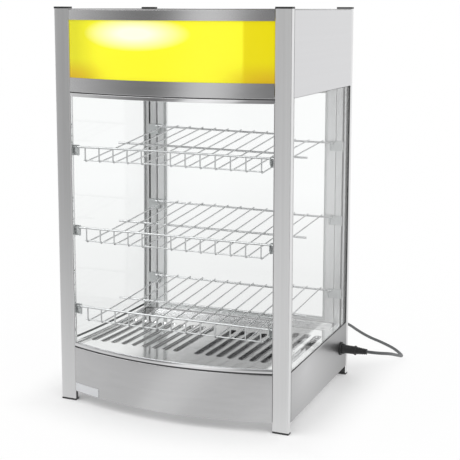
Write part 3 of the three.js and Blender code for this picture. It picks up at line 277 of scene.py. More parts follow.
cord = skins("supply_cord", [rod(lead_line, CORD / 2, 16)])
wear(cord_sheath, "cord_grey", cord)
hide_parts("cord", "cord_coil")
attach(cord, "cabinet")

# The gland is a black flange with a domed rim on the side panel, and the boot that grows out of
# it has a collar, a body with a ring, and a tail drawn in by ribs to the cord.
def turned(profile, middle, axis, sides=48):
    """A turned piece: the profile's rows are distance along the axis and radius, and each is a
    ring round the axis through the middle."""
    axis = np.array(axis, float)
    first = np.cross(axis, [0.0, 0.0, 1.0]) if abs(axis[2]) < 0.9 else np.array([1.0, 0.0, 0.0])
    first /= np.linalg.norm(first)
    second = np.cross(axis, first)
    angle = np.linspace(0, 2 * math.pi, sides, endpoint=False)
    ring = first * np.cos(angle)[:, None] + second * np.sin(angle)[:, None]
    profile = np.array(profile, float)
    return (np.array(middle) + profile[:, None, :1] * axis + ring[None] * profile[:, 1][:, None, None])


def eased(profile, radius, steps=3):
    """A line of points with each inner corner replaced by an arc-like curve of that radius, or less
    where a side is short: points of the quadratic curve from side to side through the corner."""
    profile = np.array(profile, float)
    result = [profile[:1]]
    share = np.linspace(0, 1, steps + 1)[:, None]
    for before, corner, after in zip(profile[:-2], profile[1:-1], profile[2:]):
        to_before, to_after = before - corner, after - corner
        cut = min(radius, 0.45 * np.linalg.norm(to_before), 0.45 * np.linalg.norm(to_after))
        start = corner + to_before / np.linalg.norm(to_before) * cut
        end = corner + to_after / np.linalg.norm(to_after) * cut
        result.append((1 - share)**2 * start + 2 * share * (1 - share) * corner + share**2 * end)
    return np.vstack([*result, profile[-1:]])


gland_centre = (0.2403, 0.13595, 0.0694)
gland_rings = eased([[-0.0145, 0.0], [-0.0145, 0.008], [0.0, 0.008], [0.0, 0.01375], [0.0022, 0.01375],
                     [0.003, 0.0125], [0.003, 0.0]], 0.0006)
nut_turn = np.linspace(0, 2 * math.pi, 6, endpoint=False)
nut_ring = np.stack([np.zeros_like(nut_turn), 0.012 * np.cos(nut_turn), 0.012 * np.sin(nut_turn)], axis=1)
nut_grid = np.array([[-0.0068, 0, 0], [-0.0018, 0, 0]])[:, None] + nut_ring + np.array(gland_centre)
gland = skins("cord_gland_flange", [turned(gland_rings, gland_centre, (1, 0, 0)), nut_grid])
boot_profile = [[0, 0], [0, 0.0106], [0.005, 0.0104], [0.005, 0.0088], [0.0265, 0.0082], [0.0265, 0.0096],
                [0.03, 0.0096], [0.03, 0.0076]]
for rib in range(6):
    rib_start = 0.0306 + rib * 0.0037
    rib_radius = 0.0076 - rib * 0.00032
    boot_profile += [[rib_start, rib_radius - 0.0011], [rib_start + 0.0016, rib_radius - 0.0011],
                     [rib_start + 0.0018, rib_radius], [rib_start + 0.0035, rib_radius - 0.0001]]
boot_profile += [[0.053, 0.0042], [0.053, 0.0]]
boot = skins("cord_boot_moulding", [
    turned(eased(boot_profile, 0.0004, 2), (0.2436, 0.13595, 0.0694), (1, 0, 0))])
wear(black_plastic, "black_plastic", gland)
wear(black_rubber, "black_rubber", boot)
for piece, node in ((gland, "cord_gland"), (boot, "cord_boot")):
    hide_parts(node)
    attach(piece, "cabinet")

# The plug is a straight rewirable one: a round body with finger grooves round its waist, a neck
# towards the cord and two round contacts.
def dress(finish, *names):
    """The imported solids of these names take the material."""
    for name in names:
        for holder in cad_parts[name].material_slots:
            holder.link = "OBJECT"
            holder.material = finish


PLUG_SIDES = 72
plug_axis = heading
plug_side = np.cross([0, 0, 1], plug_axis)
plug_rings = [[0, 0], [0, 0.0049], [0.003, 0.0056], [0.016, 0.006], [0.019, 0.0085], [0.024, 0.0166],
              [0.027, 0.0174], [0.048, 0.0175], [0.05, 0.0168], [0.05, 0.0]]
plug_body = turned(eased(plug_rings, 0.0012), plug_start, plug_axis, PLUG_SIDES)
along_plug = (plug_body - plug_start) @ plug_axis
plug_spoke = plug_body - plug_start - along_plug[..., None] * plug_axis
plug_angle = np.linspace(0, 2 * math.pi, PLUG_SIDES, endpoint=False)
groove = 0.05 * np.clip(np.cos(12 * plug_angle), 0, 1)[None] * np.clip((along_plug - 0.026) / 0.003, 0, 1)
groove *= np.clip((0.046 - along_plug) / 0.003, 0, 1)
plug_body = plug_start + along_plug[..., None] * plug_axis + plug_spoke * (1 - groove)[..., None]
contact_rings = eased([
    [0.049, 0.0], [0.049, 0.0024], [0.0675, 0.0024], [0.069, 0.0013], [0.069, 0.0]], 0.0006)
plug = skins("plug_moulding", [plug_body])
contacts = skins("plug_contacts", [
    turned(contact_rings, plug_start + side * 0.0095 * plug_side, plug_axis, 24) for side in (-1, 1)])
wear(black_plastic, "black_plastic", plug)
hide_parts("plug")
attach(plug, "cabinet")
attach(contacts, "cabinet")
dress(black_plastic, "cord_tie")


# Brushed grain: long fine scratches that shade and lift the metal, over broad soft streaks, laid
# along one axis of the piece. Steel, aluminium and the bright plates share it.
brushed, taken, group_end = new_group("brushed grain", {
    "Place": "Vector", "Colour": "Color", "Contrast": "Float", "Roughness": "Float", "Spread": "Float",
    "Depth": "Float"})
fine = add_node(brushed, "TexNoise", {
    "Vector": taken["Place"], "Scale": 1.0, "Detail": 3.0, "Roughness": 0.7})
broad = add_node(brushed, "TexNoise", {
    "Vector": taken["Place"], "Scale": 0.06, "Detail": 2.0, "Roughness": 0.5})
streak = reckon(brushed, "SUBTRACT", reckon(brushed, "MULTIPLY_ADD", fine, 0.5, broad), 0.75)
shade = reckon(brushed, "MULTIPLY_ADD", streak, taken["Contrast"], 1.0)
fill(group_end, {
    "Colour": add_node(brushed, "VectorMath", {0: taken["Colour"], "Scale": shade}, operation="SCALE"),
    "Roughness": reckon(brushed, "MULTIPLY_ADD", streak, taken["Spread"], taken["Roughness"]),
    "Normal": add_node(brushed, "Bump", {"Height": fine, "Strength": taken["Depth"], "Distance": 0.00005}),
})


def brushed_finish(name, colour, roughness, along, contrast, spread, depth=0.15):
    """A metal with the brushed grain along the X, Y or Z axis: 1800 scratches to the metre, each
    90 times longer than wide."""
    finish, grain = grouped_finish(name, brushed, 1.0, {
        "Colour": (*colour, 1), "Contrast": contrast, "Roughness": roughness, "Spread": spread,
        "Depth": depth})
    place = add_node(finish.node_tree, "TexCoord").outputs["Object"]
    scale = [1800 / 90 if axis == along else 1800 for axis in "XYZ"]
    fill(grain, {"Place": add_node(finish.node_tree, "Mapping", {"Vector": place, "Scale": scale})})
    return finish


steel_across = brushed_finish("brushed steel, grained across", (0.6, 0.6, 0.605), 0.24, "X", 0.08, 0.04)
plug_metal = brushed_finish("nickelled brass contact", (0.72, 0.7, 0.66), 0.2, "X", 0.1, 0.05, 0.05)
wear(plug_metal, "bright_steel", contacts)

# Posts are lipped channels of folded aluminium, grained along their length, with plastic caps at
# the top and plastic soles at the foot.
corner_names = ("front_left", "front_right", "rear_left", "rear_right")
aluminium = brushed_finish("satin aluminium post", (0.78, 0.782, 0.785), 0.4, "Z", 0.2, 0.08, 0.12)
dress(aluminium, *(f"post_{name}" for name in corner_names))
dress(black_plastic, *(f"cap_{name}" for name in corner_names))


# The front of the base is one bowed panel of brushed steel, with flanges at its foot and head.
# The side and rear panels are folded sheet between the posts. A small bare plate sits at the
# lower left of the front.
CHORD_HALF, BOW_RISE = 0.208, 0.034
BOW_RADIUS = (CHORD_HALF**2 + BOW_RISE**2) / (2 * BOW_RISE)
BOW_CENTRE = BOW_RADIUS - BOW_RISE + ROW
BOW_HALF = 0.2077
SHEET = 0.0012


def bowed(name, sections, start=-BOW_HALF, end=BOW_HALF, stations=97):
    """Closed sections carried along the bow: a section point is its inset from the bow's face and
    its height, and at each x it lies on the arc of the bow's radius less that inset."""
    x = np.linspace(start, end, stations)[:, None]
    grids = []
    for section in sections:
        inset, height = np.array(section, float).T
        y = BOW_CENTRE - np.sqrt((BOW_RADIUS - inset)**2 - x**2)
        grids.append(np.stack([np.broadcast_to(x, y.shape), y, np.broadcast_to(height, y.shape)], axis=-1))
    return skins(name, grids)


def slab(middle, near, far, low, high, radius):
    """The closed section of a sheet: a rectangle of insets and heights, its corners eased, that
    begins at the middle inset of its lower side."""
    corners = [[middle, low], [near, low], [near, high], [far, high], [far, low], [middle, low]]
    return eased(corners, radius)[:-1]


def folded(line, thickness=SHEET, radius=0.0018):
    """The closed section of a sheet folded along a line of inset and height: the eased line, and
    the same line moved by the thickness to its left."""
    outer = eased(line, radius, 4)
    direction = np.gradient(outer, axis=0)
    direction /= np.linalg.norm(direction, axis=1)[:, None]
    inner = outer + thickness * np.stack([-direction[:, 1], direction[:, 0]], axis=1)
    return np.vstack([outer, inner[::-1]])


base_front = bowed("base_front_cladding", [folded([
    [0.014, 0.1098], [0.0, 0.1098], [0.0, 0.0192], [0.014, 0.0192]])], -0.20795, 0.20795)
wear(steel_across, "brushed_steel", base_front)
bare_plate = bowed("bare_front_plate", [
    slab(-0.0003, -0.0006, -0.0001, 0.0212, 0.0375, 0.0001)], -0.2068, -0.1462, 15)
pale_label = moulded_finish("pale blank plate", (0.72, 0.73, 0.75), 0.4, 900.0, 0.05, 0.03)
wear(pale_label, "white_plastic", bare_plate)
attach(bare_plate, "cabinet")
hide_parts("base_front_panel")
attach(base_front, "cabinet")
dress(steel_across, "base_rear_panel", "header_rear_panel")


def soft_spot(tree, middle, reach):
    """A mask that falls from 1 at a place of the piece to 0 at its reach along each axis. An axis
    without a reach counts for nothing."""
    place = add_node(tree, "TexCoord").outputs["Object"]
    scale = [1 / length if length else 0 for length in reach]
    laid = add_node(tree, "Mapping", {
        "Vector": place, "Location": [-at * share for at, share in zip(middle, scale)], "Scale": scale})
    return add_node(tree, "TexGradient", {"Vector": laid}, gradient_type="SPHERICAL").outputs["Fac"]


def tint(finish, tone):
    """Multiply a metal's grained colour by a tone."""
    shader = finish.node_tree.nodes["Principled BSDF"]
    grained = shader.inputs["Base Color"].links[0].from_socket
    fill(shader, {"Base Color": blend(finish.node_tree, 1.0, grained, tone, "MULTIPLY")})


# The base sides' tint is painted reflection: brighter round a spot ahead of the middle of their length,
# darker towards their ends and edges.
steel_base_side = brushed_finish(
    "brushed steel base side", (0.55, 0.55, 0.555), 0.34, "Y", 0.07, 0.04, 0.06)
side_tree = steel_base_side.node_tree
tint(steel_base_side, blend(side_tree, soft_spot(side_tree, (0, -0.085, 0.095), (0, 0.3, 0.17)), 0.5, 1.12))
dress(steel_base_side, "base_side_panel_left", "base_side_panel_right")

# The deck is a bright plate with nine pressed flutes on each side of its plain middle. Each flute
# is a round-ended trough that narrows to its floor.
DECK_TOP, DECK_HALF, DECK_REAR, DECK_SETBACK = 0.109, 0.2217, 0.17005, 0.0143
FLUTE_PITCH = 0.0231
flute_front, flute_rear = 0.0715 + ROW, 0.262 + ROW
flute_half, flute_floor_half, flute_depth = 0.0078, 0.0028, 0.004
across_flute = np.array([
    -8.5, -7.7, -7.3, -6.7, -5.8, -4.8, -3.8, -3.0, -2.5, -1.2, 0,
    1.2, 2.5, 3.0, 3.8, 4.8, 5.8, 6.7, 7.3, 7.7, 8.5]) / 1000
flute_middles = np.concatenate([np.arange(-9, 0), np.arange(1, 10)]) * FLUTE_PITCH
deck_x = np.unique(np.round(np.concatenate([
    (flute_middles[:, None] + across_flute).ravel(), np.linspace(-0.014, 0.014, 5),
    [-DECK_HALF, DECK_HALF]]), 6))
end_steps = np.array([-0.6, 0.2, 0.8, 1.6, 2.4, 3.2, 4.2, 5.4, 6.8, 9.0]) / 1000
deck_rows = np.concatenate([
    flute_front + end_steps, np.linspace(flute_front + 0.02, flute_rear - 0.02, 6),
    (flute_rear - end_steps)[::-1], [flute_rear + 0.03, DECK_REAR]])
deck_edge = np.where(np.abs(deck_x) <= BOW_HALF, BOW_CENTRE - np.sqrt(
    (BOW_RADIUS - DECK_SETBACK)**2 - np.minimum(deck_x**2, BOW_HALF**2)), 0.015 + ROW)
deck_y = np.vstack([
    deck_edge + (deck_rows[0] - deck_edge) * np.linspace(0, 1, 5, endpoint=False)[:, None],
    np.broadcast_to(deck_rows[:, None], (len(deck_rows), len(deck_x)))])
from_middle = np.abs(deck_x[:, None] - flute_middles).min(axis=1)
past_end = np.maximum(flute_front + flute_half - deck_y, deck_y - flute_rear + flute_half).clip(0)
from_spine = np.hypot(from_middle, past_end)
pressed = np.clip((flute_half - from_spine) / (flute_half - flute_floor_half), 0, 1)
deck_z = DECK_TOP - flute_depth * pressed**2 * (3 - 2 * pressed)
deck_grid = np.stack([np.broadcast_to(deck_x, deck_y.shape), deck_y, deck_z], axis=-1)
deck = skins("fluted_deck", [deck_grid], around=False, ends=False)
pressed_share = deck.data.attributes.new("pressed", "FLOAT", "POINT")
deck_spots = np.empty(len(deck.data.vertices) * 3)
deck.data.vertices.foreach_get("co", deck_spots)
pressed_share.data.foreach_set("value", ((DECK_TOP - deck_spots[2::3]) / flute_depth).clip(0, 1))
deck_wall = deck.modifiers.new("wall", "SOLIDIFY")
deck_wall.thickness = SHEET
deck_wall.offset = -1
bright_plate = brushed_finish("bright steel plate", (0.75, 0.75, 0.755), 0.14, "Y", 0.06, 0.06, 0.04)

# The plate's tint is painted shade and reflection: it darkens from left to right, its flutes more than
# its lands, up to the front right post. Past the post, under the side pane, it is pale again.
def ramp(tree, value, start, end, low=0.0, high=1.0, slope="SMOOTHSTEP"):
    """A value carried from the range start to end to the range low to high, and held beyond it."""
    return add_node(tree, "MapRange", {
        "Value": value, "From Min": start, "From Max": end, "To Min": low, "To Max": high,
    }, interpolation_type=slope)


fluted_plate = brushed_finish("fluted steel plate", (0.9, 0.9, 0.9), 0.1, "Y", 0.05, 0.05, 0.03)
tree = fluted_plate.node_tree
place = add_node(tree, "TexCoord").outputs["Object"]
across = add_node(tree, "SeparateXYZ", {"Vector": place}).outputs["X"]
past_post = ramp(tree, across, 0.178, 0.19)
# Painted shade and reflection: the tones darken to the right, the flutes more than the lands.
flute_painted_shade = blend(tree, ramp(tree, across, -0.13, 0.03), 1, (0.055, 0.055, 0.058))
land_painted_shade = blend(tree, ramp(tree, across, -0.15, 0.06), 0.92, 0.3)
pressed_mark = add_node(tree, "Attribute", attribute_name="pressed").outputs["Fac"]
tint(fluted_plate, blend(
    tree, ramp(tree, pressed_mark, 0, 0.04),
    blend(tree, past_post, land_painted_shade, 1), blend(tree, past_post, flute_painted_shade, (0.62, 0.62, 0.63))))
wear(fluted_plate, "bright_steel", deck)
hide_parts("deck_plate")
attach(deck, "cabinet")
dress(bright_plate, "base_pan", "chamber_ceiling", "hinge_pin_lower", "hinge_pin_upper")

# A thin bright cover lies on the base's ledge under each side pane: a strip of plate with its
# inner edge turned down.
PANE_FRONT, PANE_REAR = -0.1683, 0.1741
cover_line = np.array([
    [0.2218, 0.1062], [0.2219, 0.1062], [0.2219, 0.1151], [0.2346, 0.1151], [0.2346, 0.1153],
    [0.2218, 0.1153]])
ledge_covers = skins("ledge_covers", [np.array([
    np.column_stack([side * cover_line[:, 0], np.full(len(cover_line), y), cover_line[:, 1]])
    for y in (PANE_FRONT, PANE_REAR)])
    for side in (-1, 1)])
ledge_plate = brushed_finish("bright ledge cover", (0.86, 0.86, 0.86), 0.1, "Y", 0.03, 0.02, 0.02)
wear(ledge_plate, "bright_steel", ledge_covers)
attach(ledge_covers, "cabinet")


# The temperature probe is a capsule of black moulded plastic. It lies in the last flute on the
# right and is held down by one small screw.
def rounded_block(corner, opposite, radius):
    """A block with rounded upright edges and an eased top: the plan is a rectangle whose corners
    are arcs, and its rings draw in by a quarter circle towards the top."""
    low, high = np.sort([corner, opposite], axis=0)
    angle = np.linspace(0, math.pi / 2, 5)
    quarter = np.concatenate([angle + k * math.pi / 2 for k in range(4)])
    signs = np.repeat([[1, 1], [-1, 1], [-1, -1], [1, -1]], 5, axis=0)
    middle, half = (low + high)[:2] / 2, (high - low)[:2] / 2
    arc = np.stack([np.cos(quarter), np.sin(quarter)], axis=1)
    draws = radius * (1 - np.cos(angle))
    heights = high[2] - radius * (1 - np.sin(angle))
    return np.array([np.column_stack([
        middle + signs * (half - radius) + arc * (radius - draw), np.full(len(arc), height)])
        for draw, height in [(0.0, low[2]), *zip(draws, heights)]])


probe = skins("probe_capsule", [rounded_block((0.2058, 0.00035, 0.1), (0.2168, 0.04235, 0.113), 0.0028)])
wear(black_plastic, "black_plastic", probe)
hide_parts("temperature_probe")
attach(probe, "cabinet")


# Each post stands on a foot of black moulded plastic: a thin sole under the channel, and a plug
# that is pressed up inside it.
for name in corner_names:
    side = -1 if name.endswith("left") else 1
    end = -1 if name.startswith("front") else 1
    outer, inner = (-0.1817, -0.1687) if end < 0 else (0.1873, 0.1743)
    blocks = [
        rounded_block(
            (side * near, outer - end * draw, low), (side * far, inner + end * draw * 1.6, high), 0.0012)
        for near, far, low, high, draw in (
            (0.208, 0.24, 0.0, 0.0034, 0.0), (0.2084, 0.2382, 0.0034, 0.02, 0.0016))]
    foot = skins(f"foot_moulding_{name}", blocks)
    wear(black_plastic, "black_plastic", foot)
    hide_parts(f"foot_{name}")
    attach(foot, "cabinet")


def pan_screw(centre, axis, diameter, height):
    """A pan-head screw: a low dome about its axis, with a cross recess drawn in at its middle."""
    radius = diameter / 2
    rings = [[0, 0], [0, radius], [height * 0.45, radius * 0.96], [height * 0.85, radius * 0.72],
             [height, radius * 0.42], [height * 0.55, radius * 0.3], [height * 0.5, 0.0]]
    grid = turned(rings, centre, axis, 16)
    spoke = grid[4:6] - (np.array(centre) + np.array(rings)[4:6, None, :1] * np.array(axis, float))
    cross = 1 + 0.35 * np.cos(4 * np.linspace(0, 2 * math.pi, 16, endpoint=False))
    grid[4:6] += spoke * (cross - 1)[None, :, None]
    return grid


screw_steel = brushed_finish("zinc-plated screw", (0.6, 0.6, 0.59), 0.28, "X", 0.1, 0.08, 0.05)
probe_screw = skins("probe_screw", [pan_screw((0.2113, 0.033, 0.1131), (0, 0, 1), 0.005, 0.0014)])
wear(screw_steel, "bright_steel", probe_screw)
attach(probe_screw, "cabinet")

# Inside the base: the heater is a sheathed tube stained by heat, the terminal block is pale
# plastic, and the thermostat and switch are black mouldings.
heater_sheath = brushed_finish("heat-stained heater sheath", (0.23, 0.2, 0.17), 0.45, "X", 0.5, 0.2, 0.2)
pale_plastic = moulded_finish("pale moulded plastic", (0.78, 0.78, 0.74), 0.45, 900.0, 0.2, 0.08)
dress(heater_sheath, "heating_element")
dress(pale_plastic, "terminal_block", "lamp_holder_left", "lamp_holder_right", "door_catch")
dress(black_plastic, "thermostat_body", "power_switch_housing", "power_switch_rocker")

# The thermostat's knob has a skirt, a fluted grip and a white pointer. Ticks round it on the
# panel mark its range.
KNOB_SIDES = 96
knob_centre = np.array([-0.095, 0.19065, 0.064])
knob_rings = eased([
    [-0.0117, 0], [-0.0117, 0.0029], [0.0, 0.0029], [0.0, 0.0187], [0.0015, 0.0187], [0.0038, 0.0172],
    [0.0042, 0.0138], [0.0175, 0.0124], [0.019, 0.0108], [0.0186, 0.0]], 0.0009)
knob_grid = turned(knob_rings, knob_centre, (0, 1, 0), KNOB_SIDES)
knob_along = knob_grid[..., 1] - knob_centre[1]
knob_turn = np.linspace(0, 2 * math.pi, KNOB_SIDES, endpoint=False)
knob_flutes = 0.06 * np.clip(np.cos(16 * knob_turn), 0, 1)
knob_mask = np.clip((knob_along - 0.0045) / 0.001, 0, 1) * np.clip((0.0182 - knob_along) / 0.001, 0, 1)
knob_spoke = (knob_grid - knob_centre) * [1, 0, 1]
knob_grid = knob_grid - knob_spoke * (knob_flutes[None] * knob_mask)[..., None]
knob = skins("knob_moulding", [knob_grid])
pointer_path = np.array([[-0.095, 0.2098, 0.0655], [-0.095, 0.2098, 0.0743]])
pointer = skins("knob_pointer", [rod(pointer_path, 0.0007, 10)])
white_mark = moulded_finish("white mark", (0.86, 0.86, 0.84), 0.5, 900.0, 0.1, 0.02)
wear(black_plastic, "black_plastic", knob)
wear(white_mark, "white_plastic", pointer)
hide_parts("thermostat_knob")
for piece in (knob, pointer):
    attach(piece, "thermostat_dial")
tick_angles = np.radians(np.linspace(-135, 135, 10))
tick_spokes = np.stack([np.sin(tick_angles), np.zeros_like(tick_angles), np.cos(tick_angles)], axis=1)
tick_base = np.array([-0.095, 0.18745, 0.064])
ticks = skins("dial_ticks", [
    rod(tick_base + spoke * np.array([[0.0215], [0.0245]]), 0.00035, 8) for spoke in tick_spokes])
wear(white_mark, "white_plastic", ticks)
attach(ticks, "cabinet")

# The power switch's rocker is black plastic and tips in its housing. A white bar and ring on its
# face are the marks for on and off.
rocker_middle = np.array([-0.025, 0.18435, 0.064])
tilt = math.radians(-8)
rocker_tip = np.array([
    [1, 0, 0], [0, math.cos(tilt), -math.sin(tilt)], [0, math.sin(tilt), math.cos(tilt)]])
slope = math.atan2(1.7, 12)


def on_rocker(points, upper):
    """Points of a mark, given across and up from its middle, on the upper or the lower face of the
    tilted rocker."""
    side = 1 if upper else -1
    across, up = np.array(points, float).T
    along = 0.0062 + side * up
    local = np.stack([across, 0.0052 + along * math.tan(slope), side * along], axis=1)
    return rocker_middle + local @ rocker_tip.T


ring_turn = np.linspace(0, 2 * math.pi, 25)
bar_mark = rod(on_rocker([[0, -0.0022], [0, 0.0022]], True), 0.00035, 8)
ring_line = 0.002 * np.stack([np.cos(ring_turn), np.sin(ring_turn)], axis=1)
ring_mark = rod(on_rocker(ring_line, False), 0.00035, 8)
marks = skins("rocker_marks", [bar_mark, ring_mark])
wear(white_mark, "white_plastic", marks)
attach(marks, "power_rocker")

# The front pane stands in two chromed rails that follow the bow, each bedded on a dark strip. A
# grey edging runs up each upright edge of the glass, against the post.
chrome = brushed_finish("polished chrome rail", (0.8, 0.8, 0.81), 0.06, "X", 0.02, 0.03, 0.01)


def channel(low, high, web, mouth_up, lean=0.0):
    """The closed section of a glazing rail: a block with a groove open to the top or the bottom,
    a web of that thickness under the groove, and a front face that leans back towards the mouth."""
    floor, mouth = (low + web, high) if mouth_up else (high - web, low)
    back = low if mouth_up else high
    return eased([
        [0.004, back], [0.0, back], [lean, mouth], [0.0012, mouth], [0.0012, floor], [0.0058, floor],
        [0.0058, mouth], [0.008, mouth], [0.008, back], [0.004, back]], 0.0007)[:-1]


FOOT_RAIL_LOW, HEAD_RAIL_HIGH = 0.1126, 0.6115
rail_foot = bowed("chromed_foot_rail", [channel(FOOT_RAIL_LOW, 0.1193, 0.0008, True, 0.0008)])
rail_head = bowed("chromed_head_rail", [channel(0.6047, HEAD_RAIL_HIGH, 0.002, False)])
wear(chrome, "chrome", rail_foot, rail_head)
rail_beds = bowed("rail_bedding_strips", [
    slab(0.003, 0.0002, 0.0074, low, high, 0.0003)
    for low, high in ((0.1099, FOOT_RAIL_LOW), (HEAD_RAIL_HIGH, 0.6129))])
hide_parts("glass_rail_foot")
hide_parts("glass_rail_head")

# All panes are clear float glass, a little smeared. Shadow and diffuse rays pass straight
# through it, so that the chamber isn't dark behind it.
glass = bpy.data.materials.new("clear float glass")
glass.use_nodes = True
tree = glass.node_tree
place = add_node(tree, "TexCoord").outputs["Object"]
smears = add_node(tree, "TexNoise", {"Vector": place, "Scale": 7.0, "Detail": 3.0})
clear = fill(tree.nodes["Principled BSDF"], {
    "Base Color": (0.985, 0.992, 0.99, 1), "Metallic": 0.0, "IOR": 1.22, "Transmission Weight": 1.0,
    "Roughness": ramp(tree, smears, 0.45, 1, 0, 0.03, "LINEAR")})
through = add_node(tree, "BsdfTransparent", {"Color": (0.94, 0.96, 0.955, 1)})
lit = add_node(tree, "LightPath").outputs
either = reckon(tree, "MAXIMUM", lit["Is Shadow Ray"], lit["Is Diffuse Ray"])
fill(tree.nodes["Material Output"], {
    "Surface": add_node(tree, "MixShader", {0: either, 1: clear, 2: through})})

front_pane = bowed("front_pane", [slab(0.0035, 0.0015, 0.0055, 0.1136, 0.6094, 0.0004)], -0.2069, 0.2069)
wear(glass, "clear_glass", front_pane)
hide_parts("front_glass")
dress(glass, "side_glass_left", "side_glass_right", "rear_door_glass")

seal_rubber = moulded_finish("dark glazing seal", (0.03, 0.03, 0.031), 0.5, 1500.0, 0.2, 0.03)
grey_edging = moulded_finish("grey pane edging", (0.55, 0.55, 0.55), 0.5, 1500.0, 0.2, 0.03)


def strip(corner, opposite, radius=0.0008):
    """An upright strip: a rectangle with rounded corners, raised from one corner's height to the
    other's."""
    foot = rounded_block(corner, opposite, radius)[0]
    return np.array([foot, foot * [1, 1, 0] + [0, 0, max(corner[2], opposite[2])]])


bow_edge = BOW_CENTRE - math.sqrt((BOW_RADIUS - 0.001)**2 - 0.206**2)
pane_seals = skins("front_pane_seals", [
    strip((side * 0.2071, bow_edge - 0.0002, 0.1196), (side * 0.2078, bow_edge + 0.0062, 0.6044), 0.0003)
    for side in (-1, 1)])
wear(seal_rubber, "black_rubber", rail_beds)
wear(grey_edging, "black_rubber", pane_seals)
for piece in (rail_beds, rail_foot, rail_head, front_pane, pane_seals):
    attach(piece, "cabinet")

# The side panes have grey edgings, a dark strip up the right one's rear edge and a dark bedding line
# under each. The rear door is a satin aluminium frame: its pane is held by a gasket.
PANE_OUTSIDE = 0.2399
side_seals = skins("side_pane_edgings", [
    strip((side * 0.2344, y, 0.1153), (side * 0.2396, y + 0.0035, 0.6147))
    for side, y in ((-1, PANE_FRONT), (1, PANE_FRONT), (-1, 0.1706))])
dark_pane_strips = skins("side_pane_dark_strips", [
    strip((0.2306, 0.1692, 0.1153), (PANE_OUTSIDE, PANE_REAR, 0.6147)),
    *(strip((side * PANE_OUTSIDE, PANE_FRONT, 0.1151), (side * 0.2391, PANE_REAR, 0.1174), 0.0003)
      for side in (-1, 1))])
wear(grey_edging, "black_rubber", side_seals)
wear(seal_rubber, "black_rubber", dark_pane_strips)
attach(side_seals, "cabinet")
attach(dark_pane_strips, "cabinet")
door_aluminium = brushed_finish("pale aluminium door", (0.88, 0.882, 0.885), 0.45, "Z", 0.12, 0.06, 0.08)
dress(door_aluminium, "rear_door_frame")


def ring_frame(half, low, high, section):
    """A closed frame round an opening: each section point is a distance in from the opening's edge
    and a depth, and it is carried round the four mitred corners."""
    inward, depth = np.array(section, float).T
    corners = []
    for side, end in ((-1, 0), (1, 0), (1, 1), (-1, 1)):
        z = (high - inward) if end else (low + inward)
        corners.append(np.stack([side * (half - inward), depth, z], axis=1))
    return np.array(corners + corners[:1])


gasket_line = [
    [0.0, 0.1764], [0.0006, 0.1764], [0.0009, 0.1768], [0.0009, 0.1784], [0.0006, 0.1788], [0.0, 0.1788]]
gasket = skins("door_gasket", [ring_frame(0.1844, 0.1181, 0.6049, gasket_line)], ends=False)
wear(grey_edging, "black_rubber", gasket)
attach(gasket, "rear_door")

# The handle is a flat bow of black plastic on the door's free stile, widest and thickest at its
# two feet.
handle_half = np.array([
    [0, -0.0535], [0.010, -0.0525], [0.0195, -0.0465], [0.0235, -0.036], [0.0245, -0.02], [0.0245, 0.0]])
handle_line = np.vstack([handle_half, handle_half[-2::-1] * [1, -1]])
handle_points = np.column_stack([np.full(len(handle_line), 0.1959), handle_line + [0.1874, 0.3615]])
handle_run = smooth_run(handle_points, 0.003)
handle_rings = rod(handle_run, 1.0, 24)
handle_spoke = handle_rings - handle_run[:, None]
handle_share = np.abs(np.linspace(-1, 1, len(handle_run)))[:, None]
handle_width = 0.007 * (1 - 0.1 * (1 - handle_share))
handle_thick = 0.0042 + 0.002 * handle_share**6
wide = handle_spoke[..., :1]
handle_grid = handle_run[:, None] + np.concatenate([
    wide * handle_width[..., None], handle_spoke[..., 1:] * handle_thick[..., None]], axis=2)
handle = skins("door_handle_moulding", [handle_grid])
wear(black_plastic, "black_plastic", handle)
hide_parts("door_handle")
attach(handle, "rear_door")

# The header's bowed bands, above and below the display panel, are brushed steel. Its side, rear
# and top sheets close the lamp space.
lower_band = bowed("header_lower_cladding", [folded([[0.0, 0.6405], [0.0, 0.6130], [0.014, 0.6130]])])
upper_band = bowed("header_upper_cladding", [folded([[0.014, 0.7690], [0.0, 0.7690], [0.0, 0.7493]])])
wear(steel_across, "brushed_steel", lower_band, upper_band)
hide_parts("header_lower_band")
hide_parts("header_upper_band")
steel_sideways = brushed_finish(
    "brushed steel, grained front to back", (0.66, 0.66, 0.67), 0.3, "Y", 0.06, 0.04, 0.05)
dress(steel_sideways, "header_side_panel_left", "header_side_panel_right")
dress(steel_across, "top_cover")

# The display panel is a bare sheet of yellow plastic with a gloss face. Its glow is painted light of
# the lamp behind it: the sheet gives off its own colour, with a paler patch left of the middle. The colour
# deepens towards the far ends.
display = bowed("display_sheet", [slab(0.003, 0.0015, 0.0045, 0.6355, 0.7543, 0.0004)])
yellow = bpy.data.materials.new("lit yellow plastic")
yellow.use_nodes = True
tree = yellow.node_tree
place = add_node(tree, "TexCoord").outputs["Object"]
spot = add_node(tree, "SeparateXYZ", {"Vector": place}).outputs
far_side = ramp(tree, reckon(tree, "ABSOLUTE", spot["X"]), 0.09, 0.2)
low_corner = reckon(tree, "MULTIPLY", far_side, ramp(tree, spot["Z"], 0.682, 0.642))
glow = ramp(tree, soft_spot(tree, (-0.054, 0, 0.7252), (0.115, 0, 0.032)), 0, 0.72, slope="LINEAR")
sheet = blend(tree, ramp(tree, spot["X"], 0.15, 0.158), (0.94, 0.9, 0.025), (0.77, 0.66, 0.002))
sheet = blend(tree, ramp(tree, spot["X"], -0.13, -0.19, slope="LINEAR"), sheet, (0.71, 0.675, 0.012))
sheet = blend(tree, low_corner, sheet, (0.66, 0.44, 0.008))
sheet = blend(tree, glow, sheet, (0.97, 0.97, 0.75))
